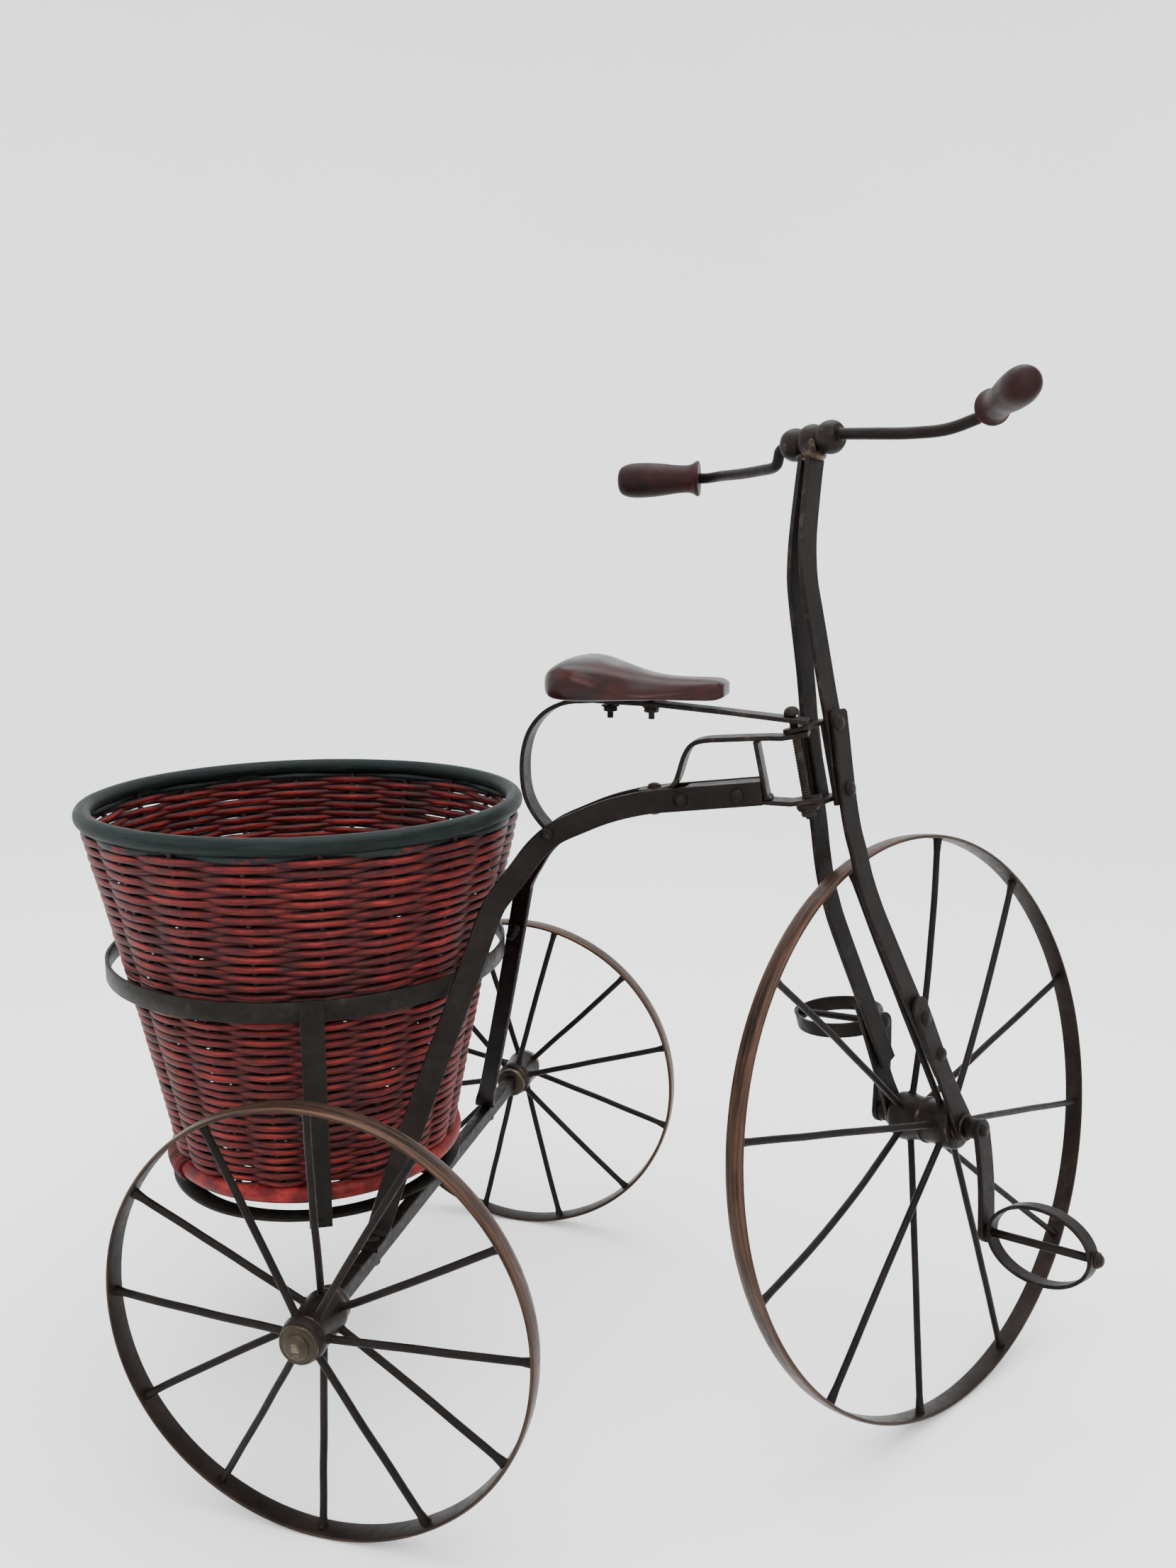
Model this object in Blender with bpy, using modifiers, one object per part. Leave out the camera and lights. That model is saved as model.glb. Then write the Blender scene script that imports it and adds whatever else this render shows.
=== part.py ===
"""Ornamental iron tricycle: three spoked wheels, a carved seat and a wicker basket.

Metres, +X forward, +Y to the rider's left, +Z up. The fixed frame is laid out from the
point on the ground below the middle of the rear axle. The steered front is laid out
straight ahead, in the same coordinates, and then turned about the raked pivot bolt.
"""
import math

import bmesh
import bpy
from mathutils import Matrix, Vector

# ---------------------------------------------------------------- driving dimensions
REAR_AXLE_X = -0.1174          # rear axle station, which centres the whole on the origin
REAR_AXLE_Y = -0.0065
GAP = 0.0003                   # play between touching pieces

REAR_RADIUS = 0.150
FRONT_RADIUS = 0.2165
TRACK_HALF = 0.2076            # rear wheel mid-plane
RIM_WIDTH = 0.015
RIM_THICK = 0.0032
TREAD_SHARE = 0.45             # flat share of the tread across its width
SPOKES = 12
REAR_FACETS, FRONT_FACETS = 36, 44
SPOKE_RADIUS = 0.0021

RAKE = math.radians(11.5)      # pivot bolt leans back by this much
STEER = math.radians(56.8)     # the handlebar is turned this far to the rider's left
PIVOT = Vector((0.2779, 0.0, 0.4878))
PIVOT_AXIS = Vector((-math.sin(RAKE), 0.0, math.cos(RAKE)))
FRONT_HUB_X = 0.4085

STRAP_WIDTH = 0.019            # flat stock of the seat spring and the head straps
STRAP_THICK = 0.0032
BAR_WIDTH = 0.0168             # flat stock of the two spine bars
BAR_THICK = 0.0038
LEG_WIDTH = 0.0164             # flat stock of the fork
LEG_THICK = 0.0037
LEG_Y = 0.0142                 # lower fork legs, beside the bracket
UPPER_LEG_Y = LEG_Y - LEG_THICK - 0.0003
BOLT_RADIUS = 0.0030
RIVET_RADIUS = 0.0028

CROSSBAR_Z = 0.150             # rear axle height
CROSSBAR_HIGH = 0.0125
CROSSBAR_DEEP = 0.0095
AXLE_RADIUS = 0.0042

HUB_HALF = 0.0205              # rear hub barrel
HUB_RADIUS = 0.0155
FRONT_HUB_HALF = 0.0262
FRONT_HUB_RADIUS = 0.0182
CRANKS = {"right": (0.073, math.radians(180)), "left": (0.068, math.radians(8))}
PEDAL_LEANS = {"right": math.radians(90), "left": math.radians(-15)}
CRANK_Y = 0.0450
PEDAL_MID_Y = 0.0885
PEDAL_LONG = 0.0385            # half of the pedal ring along its rod
PEDAL_SHORT = 0.0265
PEDAL_BAND = 0.012
PEDAL_THICK = 0.0026
ROD_RADIUS = 0.0030

BASKET_X = -0.1023
BASKET_RIM_Z = 0.448
BASKET_RIM_RADIUS = 0.1616
BASKET_RIM_TUBE = 0.0065
BASKET_FOOT_Z = 0.1705
BASKET_FOOT_RADIUS = 0.1085    # middle of the wrapped foot band
BASKET_FOOT_TUBE = 0.0048
BASKET_WALL = 0.0052

HOOP_RADIUS = 0.1527           # outside of the hoop round the basket
HOOP_THICK = 0.0026
HOOP_LOW, HOOP_HIGH = 0.3240, 0.3385
RING_OUTER, RING_INNER = 0.1135, 0.0995
RING_LOW, RING_HIGH = 0.1566, 0.1592
STAY_ANGLE = math.radians(62.5)

BAR_ROD_RADIUS = 0.0032        # handlebar rod
GRIP_LENGTH = 0.0645
KNOB = Vector((0.3050, 0.0, 0.7185))
BAR_TILT = 0.06                # the handlebar stands higher on its left

FOOT_Y = 0.1200                # rivets of the spine bars' feet
BAR_INNER = STRAP_WIDTH / 2 + GAP
BAR_Y = BAR_INNER + BAR_THICK / 2
SPINE_RIVETS = (0.1953, 0.2353)
EYE = Vector((0.0975, 0.0, 0.4353))        # rolled end of the seat spring
HEAD_LOW, HEAD_HIGH = -0.0205, 0.0255      # head straps, along the bolt
TAB_LOW, TAB_HIGH = HEAD_LOW - STRAP_THICK - 2 * GAP, HEAD_HIGH + STRAP_THICK + 2 * GAP
SEAT_BOLTS = (0.1412, 0.1713)
SEAT_BOLT_RADIUS = 0.0025
SEAT_FLOOR = 0.5362
PLATE_RIVETS = ((0.3710, 0.3060), (0.3860, 0.2780))
BRACKET_RIVETS = ((0.0275, 0.0285), (-0.0196, 0.0288))     # along the bolt, ahead of it


# ---------------------------------------------------------------- scene and materials
def clear_scene():
    for item in list(bpy.data.objects):
        bpy.data.objects.remove(item, do_unlink=True)


def new_collection(name):
    group = bpy.data.collections.new(name)
    bpy.context.scene.collection.children.link(group)
    return group


def surface(name, colour, roughness, metallic):
    material = bpy.data.materials.new(name)
    material.use_nodes = True
    shader = material.node_tree.nodes["Principled BSDF"]
    shader.inputs["Base Color"].default_value = (*colour, 1.0)
    shader.inputs["Roughness"].default_value = roughness
    shader.inputs["Metallic"].default_value = metallic
    material.diffuse_color = (*colour, 1.0)
    return material


clear_scene()
TRICYCLE = new_collection("iron_tricycle")
CUTTERS = new_collection("cutters")

IRON = surface("dark_iron", (0.035, 0.030, 0.026), 0.48, 0.85)
PATINA = surface("rubbed_iron", (0.095, 0.055, 0.035), 0.42, 0.90)
HUB_IRON = surface("brown_iron", (0.060, 0.040, 0.030), 0.45, 0.85)
BRASS = surface("dull_brass", (0.210, 0.150, 0.085), 0.40, 0.95)
OLIVE = surface("olive_iron", (0.040, 0.038, 0.030), 0.52, 0.80)
SEAT_WOOD = surface("seat_wood", (0.075, 0.012, 0.010), 0.22, 0.0)
GRIP_WOOD = surface("grip_wood", (0.050, 0.014, 0.014), 0.45, 0.0)
WICKER = surface("red_wicker", (0.260, 0.030, 0.020), 0.55, 0.0)
RIM_GREEN = surface("green_rim", (0.016, 0.030, 0.026), 0.50, 0.0)


# ---------------------------------------------------------------- shared tools
def empty(name, parent=None, matrix=None):
    """A joint's frame, or the station that pieces are laid out from."""
    item = bpy.data.objects.new(name, None)
    TRICYCLE.objects.link(item)
    item.parent = parent
    item.matrix_local = matrix or Matrix.Identity(4)
    return item


def place(name, mesh, material, parent, matrix=None, smooth=True):
    item = bpy.data.objects.new(name, mesh)
    TRICYCLE.objects.link(item)
    item.parent = parent
    item.matrix_local = matrix or Matrix.Identity(4)
    if material:
        mesh.materials.append(material)
    if smooth:
        mesh.shade_smooth()
    return item


def mesh_from(bm, name):
    mesh = bpy.data.meshes.new(name)
    bm.to_mesh(mesh)
    bm.free()
    return mesh


def boolean(item, tool, operation):
    """Cut with, or add, a tool that stays hidden in the cutters collection."""
    for group in list(tool.users_collection):
        group.objects.unlink(tool)
    CUTTERS.objects.link(tool)
    tool.hide_render = True
    tool.display_type = "WIRE"
    step = item.modifiers.new(operation.lower(), "BOOLEAN")
    step.operation = operation
    step.solver = "EXACT"
    step.object = tool


def along(axis):
    """Rotation that lays local +Z along an axis."""
    return Vector((0, 0, 1)).rotation_difference(Vector(axis)).to_matrix().to_4x4()


def cylinders(name, specs, parent, sides=12):
    """One mesh of separate cylinders: (start, end, radius) for each."""
    bm = bmesh.new()
    for start, end, radius in specs:
        start, end = Vector(start), Vector(end)
        matrix = Matrix.Translation((start + end) / 2) @ along(end - start)
        bmesh.ops.create_cone(bm, cap_ends=True, segments=sides, radius1=radius, radius2=radius,
                              depth=(end - start).length, matrix=matrix)
    return place(name, mesh_from(bm, name), None, parent)


def drill(item, specs, sides=8):
    boolean(item, cylinders(item.name + "_holes", specs, item.parent, sides), "DIFFERENCE")


def turned(name, profile, material, parent, matrix=None, steps=24, closed=False):
    """A turned piece about local Z. The profile runs down its outer side."""
    bm = bmesh.new()
    points = [bm.verts.new((radius, 0.0, height)) for radius, height in profile]
    for first, second in zip(points, points[1:] + ([points[0]] if closed else [])):
        if first is not second:
            bm.edges.new((first, second))
    item = place(name, mesh_from(bm, name), material, parent, matrix)
    screw = item.modifiers.new("turn", "SCREW")
    screw.steps = screw.render_steps = steps
    screw.use_merge_vertices = True
    screw.merge_threshold = 0.00001
    return item


def frame_y(location, flip=False):
    """Local Z laid along world Y (or along -Y), at a location."""
    turn = Matrix.Rotation(math.radians(90 if flip else -90), 4, "X")
    return Matrix.Translation(location) @ turn


def smooth_path(points, steps=5):
    """Catmull-Rom curve through the given points."""
    points = [Vector(point) for point in points]
    ends = [2 * points[0] - points[1]] + points + [2 * points[-1] - points[-2]]
    path = []
    for a, b, c, d in zip(ends, ends[1:], ends[2:], ends[3:]):
        for step in range(steps):
            t = step / steps
            path.append(0.5 * (2 * b + (c - a) * t + (2 * a - 5 * b + 4 * c - d) * t * t
                               + (3 * b - a - 3 * c + d) * t ** 3))
    return path + [points[-1]]


def tangents(path):
    steps = [(after - before).normalized() for before, after in zip(path, path[1:])]
    joined = [(first + second).normalized() for first, second in zip(steps, steps[1:])]
    return [steps[0]] + joined + [steps[-1]]


def strip(name, path, facing, width, thick, material, parent, widths=None):
    """Flat bar bent along a path; facing is the direction its flat side looks in."""
    if not isinstance(facing, list):
        facing = [facing] * len(path)
    count = len(path) - 1
    bm = bmesh.new()
    bmesh.ops.create_grid(bm, x_segments=1, y_segments=count, size=1.0)
    across = [Vector(face).cross(run).normalized() for face, run in zip(facing, tangents(path))]
    for vert in bm.verts:
        station = round((vert.co.y + 1) / 2 * count)
        side = vert.co.x / 2 * (widths[station] if widths else width)
        vert.co = path[station] + across[station] * side
    item = place(name, mesh_from(bm, name), material, parent, smooth=False)
    solid = item.modifiers.new("thickness", "SOLIDIFY")
    solid.thickness = thick
    solid.offset = 0.0
    solid.use_even_offset = True
    return item


def rounded(path, width, start=True, end=True, cuts=(0.04, 0.18, 0.45, 1.0)):
    """Stations and widths that give a straight-ended path half-round ends."""
    radius = width / 2
    path = [Vector(point) for point in path]
    first = (path[1] - path[0]).normalized()
    last = (path[-1] - path[-2]).normalized()
    profile = [2 * math.sqrt(radius ** 2 - (radius - cut * radius) ** 2) for cut in cuts]
    head = [path[0] + first * radius * (cut - 1) for cut in cuts] if start else [path[0]]
    tail = [path[-1] - last * radius * (cut - 1) for cut in reversed(cuts)] if end else [path[-1]]
    widths = (profile if start else [width]) + [width] * (len(path) - 2)
    widths += profile[::-1] if end else [width]
    return head + path[1:-1] + tail, widths


def rivet(name, middle, axis, grip, parent, head=0.0052, dome=0.0030, shank=RIVET_RADIUS,
          material=IRON):
    """Round-headed rivet; grip is the thickness between its two heads."""
    top = grip / 2 + GAP
    profile = [(0.0, top + dome), (head * 0.72, top + dome * 0.66), (head, top), (shank, top),
               (shank, -top), (head, -top), (head * 0.72, -top - dome * 0.66), (0.0, -top - dome)]
    return turned(name, profile, material, parent, Matrix.Translation(middle) @ along(axis), 8)


def rod(name, points, radius, material, parent, sides=2, steps=4):
    """Round rod bent through its points, with closed ends."""
    curve = bpy.data.curves.new(name, "CURVE")
    curve.dimensions = "3D"
    curve.bevel_depth = radius
    curve.bevel_resolution = sides
    curve.use_fill_caps = True
    path = [Vector(points[0])] + smooth_path(points[1:-1], steps) + [Vector(points[-1])]
    spline = curve.splines.new("POLY")
    spline.points.add(len(path) - 1)
    for slot, point in zip(spline.points, path):
        slot.co = (*point, 1.0)
    item = bpy.data.objects.new(name, curve)
    TRICYCLE.objects.link(item)
    item.parent = parent
    curve.materials.append(material)
    return item


# ---------------------------------------------------------------- stations and joint frames
STATION = empty("rear_axle_station", matrix=Matrix.Translation((REAR_AXLE_X, REAR_AXLE_Y, 0)))
TURNED = Matrix.Rotation(STEER, 4, PIVOT_AXIS)
STEERING = empty("steering_pivot", STATION, Matrix.Translation(PIVOT) @ TURNED)


def front_hub_height():
    """Height of the front hub, set so that the turned wheel just meets the ground."""
    wheel_axis = TURNED.to_3x3() @ Vector((0, 1, 0))
    tread_edge = RIM_WIDTH / 2 * TREAD_SHARE * abs(wheel_axis.z)
    wanted = FRONT_RADIUS * math.sqrt(1 - wheel_axis.z ** 2) + tread_edge
    turn = TURNED.to_3x3()
    arm = FRONT_HUB_X - PIVOT.x
    return PIVOT.z + (wanted - PIVOT.z - turn[2][0] * arm) / turn[2][2]


FRONT_HUB = Vector((FRONT_HUB_X, 0.0, front_hub_height()))


def local(x, y, z):
    """A place on the steered front, from the coordinates of the straight-ahead pose."""
    return Vector((x, y, z)) - PIVOT


FRONT_AXLE = empty("front_axle", STEERING, Matrix.Translation(FRONT_HUB - PIVOT))


# ---------------------------------------------------------------- wheels
def rim(name, radius, parent, matrix, steps):
    """Flat iron tyre, a little rounded on its tread."""
    half, inner = RIM_WIDTH / 2, radius - RIM_THICK
    profile = [(inner, half), (radius - 0.0010, half), (radius, half * TREAD_SHARE),
               (radius, -half * TREAD_SHARE), (radius - 0.0010, -half), (inner, -half)]
    return turned(name, profile, PATINA, parent, matrix, steps, closed=True)


def spoked_hub(name, barrel, radius, steps, seats, bore, phase, parent, matrix):
    """Turned hub barrel with rods set into its two ends by turns."""
    item = turned(name, barrel, HUB_IRON, parent, matrix, 20, closed=True)
    reach = (radius - RIM_THICK) * math.cos(math.pi / steps) - GAP
    specs = []
    for index in range(SPOKES):
        angle = phase + 2 * math.pi * index / SPOKES
        height = seats if index % 2 else -seats
        root = bore + 0.0035
        specs.append(((root * math.cos(angle), root * math.sin(angle), height),
                      (reach * math.cos(angle), reach * math.sin(angle), 0.0), SPOKE_RADIUS))
    boolean(item, cylinders(name + "_spokes", specs, item, 6), "UNION")
    return item


def rear_wheel(side_name, side, phase):
    """One rear wheel on its stub, spinning about the crossbar's line."""
    centre = Vector((0.0, side * TRACK_HALF, CROSSBAR_Z))
    wheel = empty("rear_wheel_" + side_name, STATION, frame_y(centre, flip=side < 0))
    rim("rear_rim_" + side_name, REAR_RADIUS, wheel, None, REAR_FACETS)
    bore = AXLE_RADIUS + GAP
    shoulder = HUB_RADIUS - 0.0015
    barrel = [(bore, HUB_HALF), (shoulder, HUB_HALF), (HUB_RADIUS, HUB_HALF - 0.0060),
              (HUB_RADIUS, -HUB_HALF + 0.0060), (shoulder, -HUB_HALF), (bore, -HUB_HALF)]
    spoked_hub("rear_hub_" + side_name, barrel, REAR_RADIUS, REAR_FACETS, -side * HUB_HALF * 0.55,
               bore, phase, wheel, None)
    low = HUB_HALF + GAP
    cap = [(0.0, low + 0.0052), (0.0085, low + 0.0052), (0.0098, low + 0.0030),
           (0.0128, low + 0.0026), (0.0135, low), (0.0, low)]
    turned("rear_cap_" + side_name, cap, BRASS, wheel, None, 20)


def front_wheel():
    """Driven wheel: rim, hub, axle and both cranks turn together."""
    wheel = frame_y((0, 0, 0))
    rim("front_rim", FRONT_RADIUS, FRONT_AXLE, wheel, FRONT_FACETS)
    half, outer, bore = FRONT_HUB_HALF, FRONT_HUB_RADIUS, AXLE_RADIUS + GAP
    barrel = [(bore, half), (outer * 0.94, half), (outer, half * 0.72), (outer * 0.86, half * 0.30),
              (outer * 0.95, 0.0), (outer * 0.86, -half * 0.30), (outer, -half * 0.72),
              (outer * 0.94, -half), (bore, -half)]
    spoked_hub("front_hub", barrel, FRONT_RADIUS, FRONT_FACETS, -half * 0.62, bore,
               math.radians(-82.7), FRONT_AXLE, wheel)
    reach = CRANK_Y + 0.0040
    axle = [(0.0, reach), (AXLE_RADIUS, reach), (AXLE_RADIUS, -reach), (0.0, -reach)]
    turned("front_axle_rod", axle, IRON, FRONT_AXLE, wheel, 14)


def crank(side_name, side):
    """Flat crank with a boss on the axle and a rod that carries the pedal ring."""
    middle = side * CRANK_Y
    length, turn = CRANKS[side_name]
    foot = Vector((0.0, middle, 0.0))
    tip = foot + Vector((math.sin(turn), 0.0, math.cos(turn))) * length
    path = [foot, (foot + tip) / 2, tip]
    stations, widths = rounded(path, 0.0165)
    item = strip("crank_" + side_name, stations, Vector((0, side, 0)), 0.0165, 0.0042, IRON,
                 FRONT_AXLE, widths)
    boss = cylinders(item.name + "_boss", [((0, side * 0.0340, 0), (0, middle, 0), 0.0074)],
                     FRONT_AXLE, 14)
    boolean(item, boss, "UNION")
    end = side * (PEDAL_MID_Y + PEDAL_LONG + 0.0030)
    pin = cylinders(item.name + "_pin", [(tip, (tip.x, end, tip.z), ROD_RADIUS)], FRONT_AXLE, 10)
    boolean(item, pin, "UNION")
    bore = AXLE_RADIUS + GAP
    drill(item, [((0, side * 0.030, 0), (0, side * 0.052, 0), bore)], 14)
    return tip


def pedal(side_name, side, tip):
    """Oval stirrup of flat strip that swings on the crank's rod, and the rod's nut."""
    matrix = Matrix.Translation((tip.x, side * PEDAL_MID_Y, tip.z))
    matrix = matrix @ Matrix.Rotation(PEDAL_LEANS[side_name], 4, "Y")
    swing = empty("pedal_" + side_name, FRONT_AXLE, matrix)
    bm = bmesh.new()
    bmesh.ops.create_circle(bm, segments=20, radius=1.0)
    for vert in bm.verts:
        vert.co = Vector((vert.co.x * PEDAL_SHORT, vert.co.y * PEDAL_LONG, -PEDAL_BAND / 2))
    wall = bmesh.ops.extrude_edge_only(bm, edges=bm.edges[:])["geom"]
    for vert in (part for part in wall if isinstance(part, bmesh.types.BMVert)):
        vert.co.z += PEDAL_BAND
    item = place("pedal_ring_" + side_name, mesh_from(bm, "pedal_ring_" + side_name), IRON, swing)
    solid = item.modifiers.new("thickness", "SOLIDIFY")
    solid.thickness = PEDAL_THICK
    solid.offset = 0.0
    solid.use_even_offset = True
    reach = PEDAL_LONG + 0.01
    drill(item, [((0, -reach, 0), (0, reach, 0), ROD_RADIUS + GAP)], 10)
    outer = side * (PEDAL_LONG + PEDAL_THICK / 2 + GAP)
    nut = [(0.0, 0.0062), (0.0030, 0.0055), (0.0048, 0.0036), (0.0055, 0.0), (ROD_RADIUS + 0.0002, 0.0),
           (ROD_RADIUS + 0.0002, 0.0024), (0.0, 0.0024)]
    turned("pedal_nut_" + side_name, nut, HUB_IRON, swing, frame_y((0, outer, 0), side < 0), 10)


# ---------------------------------------------------------------- rear frame
def crossbar():
    """Square bar between the wheels, with turned stubs that the hubs run on."""
    bm = bmesh.new()
    end = TRACK_HALF - HUB_HALF - 0.0066
    bmesh.ops.create_cube(bm, size=1.0, matrix=Matrix.Diagonal((CROSSBAR_DEEP, 2 * end,
                                                               CROSSBAR_HIGH, 1)))
    matrix = Matrix.Translation((0, 0, CROSSBAR_Z))
    item = place("rear_crossbar", mesh_from(bm, "rear_crossbar"), IRON, STATION, matrix, False)
    reach = TRACK_HALF + HUB_HALF
    stub = cylinders("crossbar_stubs", [((0, -reach, 0), (0, reach, 0), AXLE_RADIUS)], item, 14)
    boolean(item, stub, "UNION")
    for name, side in (("right", -1), ("left", 1)):
        low, high = end + GAP, end + 0.0063
        bore = AXLE_RADIUS + GAP
        ring = [(bore, high), (0.0125, high), (0.0134, (low + high) / 2), (0.0125, low), (bore, low)]
        turned("axle_collar_" + name, ring, BRASS, STATION,
               frame_y((0, 0, CROSSBAR_Z), side < 0), 20, closed=True)
    drill(item, [((0, side * FOOT_Y, CROSSBAR_Z - 0.02), (0, side * FOOT_Y, CROSSBAR_Z + 0.02),
                  RIVET_RADIUS + GAP)
                 for side in (-1, 1)])
    return item


def spine_line(x):
    """Height of the spine bars' centre line over their straight front stretch."""
    return 0.4658 + (x - 0.1953) * 0.128


def spine_bar(side_name, side):
    """Flat bar from the head, over the back, splayed past the hoop, to a riveted foot."""
    route = [(0.2520, BAR_Y, spine_line(0.2520)), (0.2250, BAR_Y, spine_line(0.2250)),
             (0.1953, BAR_Y, spine_line(0.1953)), (0.1700, BAR_Y, 0.4622),
             (0.1439, BAR_Y, 0.4550), (0.1213, BAR_Y, 0.4453), (0.1022, BAR_Y, 0.4355),
             (0.0882, 0.0124, 0.4228), (0.0780, 0.0190, 0.4080), (0.0690, 0.0288, 0.3940),
             (0.0622, 0.0391, 0.3800), (0.0509, 0.0538, 0.3400), (0.0336, 0.0762, 0.2800),
             (0.0162, 0.0970, 0.2200), (0.0035, 0.1090, 0.1740)]
    foot = [(0.0010, 0.1105, 0.1640), (0.0000, 0.1128, 0.1600), (0.0000, 0.1160, 0.1586),
            (0.0000, 0.1300, 0.1586)]
    turn = 6 * 2
    path = smooth_path(route, 2) + [Vector(point) for point in foot]
    path = [Vector((point.x, side * point.y, point.z)) for point in path]
    facing = []
    for index, point in enumerate(path):
        blend = min(1.0, max(0.0, (index - turn) / 6.0))
        look = Vector((0.40 * blend, side * (1.0 - 0.1 * blend), 0.0))
        if index >= len(path) - 3:
            look = Vector((0, 0, 1))
        elif index == len(path) - 4:
            look = Vector((0.1, side, 0.6))
        facing.append(look.normalized())
    item = strip("spine_bar_" + side_name, path, facing, BAR_WIDTH, BAR_THICK, IRON, STATION)
    holes = [((x, 0, spine_line(x)), (x, side * 0.03, spine_line(x)), RIVET_RADIUS + GAP)
             for x in SPINE_RIVETS]
    holes.append((EYE, EYE + Vector((0, side * 0.03, 0)), RIVET_RADIUS + GAP))
    holes.append(((0, side * FOOT_Y, 0.150), (0, side * FOOT_Y, 0.170), RIVET_RADIUS + GAP))
    drill(item, holes)
    grip = BAR_THICK + CROSSBAR_HIGH + 3 * GAP
    middle = Vector((0, side * FOOT_Y, CROSSBAR_Z - CROSSBAR_HIGH / 2 + grip / 2))
    rivet("foot_rivet_" + side_name, middle, (0, 0, 1), grip, STATION)


def on_pivot(along_axis, forward=0.0, y=0.0):
    """A place measured along the pivot bolt and square to it, in straight-ahead coordinates."""
    square = Vector((math.cos(RAKE), 0, math.sin(RAKE)))
    return PIVOT + PIVOT_AXIS * along_axis + square * forward + Vector((0, y, 0))


def head():
    """Two straps and a post that carry the pivot bolt ahead of the spine."""
    reach = 0.0095
    upper = smooth_path([(0.1640, 0, 0.4688), (0.1830, 0, 0.4718), (0.1905, 0, 0.4775),
                         (0.1975, 0, 0.4985), (0.2065, 0, 0.5065), (0.2300, 0, 0.5092),
                         (0.2560, 0, 0.5110)], 2)
    upper += [on_pivot(HEAD_HIGH, -0.0085), on_pivot(HEAD_HIGH, reach)]
    item = strip("head_strap_upper", upper, Vector((0, 0, 1)), STRAP_WIDTH, STRAP_THICK, IRON,
                 STATION)
    drill(item, [(on_pivot(0.010), on_pivot(0.040), BOLT_RADIUS + GAP),
                 ((0.1740, 0, 0.45), (0.1740, 0, 0.49), RIVET_RADIUS + GAP)])
    base = BAR_WIDTH / 2 - STRAP_THICK / 2
    lower = [Vector((x, 0, spine_line(x) - base)) for x in (0.1640, 0.1900, 0.2200, 0.2500)]
    lower += [on_pivot(HEAD_LOW, -0.0105), on_pivot(HEAD_LOW, reach)]
    item = strip("head_strap_lower", lower, Vector((0, 0, 1)), STRAP_WIDTH, STRAP_THICK, IRON,
                 STATION)
    drill(item, [(on_pivot(-0.040), on_pivot(-0.010), BOLT_RADIUS + GAP),
                 ((0.1740, 0, 0.44), (0.1740, 0, 0.47), RIVET_RADIUS + GAP)])
    foot = Vector((0.2549, 0, spine_line(0.2549) - base + STRAP_THICK / 2 + GAP + 0.0002))
    top = Vector((0.2462, 0, 0.5100 - STRAP_THICK / 2 - GAP - 0.0003))
    strip("head_post", [foot, top], Vector((1, 0, 0)), STRAP_WIDTH, STRAP_THICK, IRON, STATION)


def spacer():
    """Packing piece between the spine bars, under the upper strap's tail."""
    floor = -BAR_WIDTH / 2 + STRAP_THICK + GAP
    outline = [(0.1650, spine_line(0.1650) + floor), (0.2505, spine_line(0.2505) + floor),
               (0.2505, spine_line(0.2505) + BAR_WIDTH / 2 - 0.0006),
               (0.1985, spine_line(0.1985) + BAR_WIDTH / 2 - 0.0006),
               (0.1935, 0.4705), (0.1835, 0.4690), (0.1650, 0.4668)]
    bm = bmesh.new()
    face = bm.faces.new([bm.verts.new((x, -STRAP_WIDTH / 2, z)) for x, z in outline])
    grown = bmesh.ops.extrude_face_region(bm, geom=[face])["geom"]
    bmesh.ops.translate(bm, vec=(0, STRAP_WIDTH, 0),
                        verts=[part for part in grown if isinstance(part, bmesh.types.BMVert)])
    bmesh.ops.recalc_face_normals(bm, faces=bm.faces[:])
    item = place("spine_spacer", mesh_from(bm, "spine_spacer"), IRON, STATION, smooth=False)
    holes = [((x, -0.02, spine_line(x)), (x, 0.02, spine_line(x)), RIVET_RADIUS + GAP)
             for x in SPINE_RIVETS]
    holes.append(((0.1740, 0, 0.44), (0.1740, 0, 0.49), RIVET_RADIUS + GAP))
    drill(item, holes)


def frame_rivets():
    grip = 2 * (BAR_INNER + BAR_THICK)
    for index, x in enumerate(SPINE_RIVETS):
        rivet(f"spine_rivet_{index + 1}", (x, 0, spine_line(x)), (0, 1, 0), grip, STATION)
    rivet("eye_rivet", EYE, (0, 1, 0), grip + 2 * GAP, STATION)
    tail_top = 0.4704 + STRAP_THICK / 2
    tail_low = spine_line(0.1740) - BAR_WIDTH / 2
    rivet("tail_rivet", (0.1740, 0, (tail_top + tail_low) / 2), (0, 0, 1),
          tail_top - tail_low + 6 * GAP, STATION)


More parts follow.
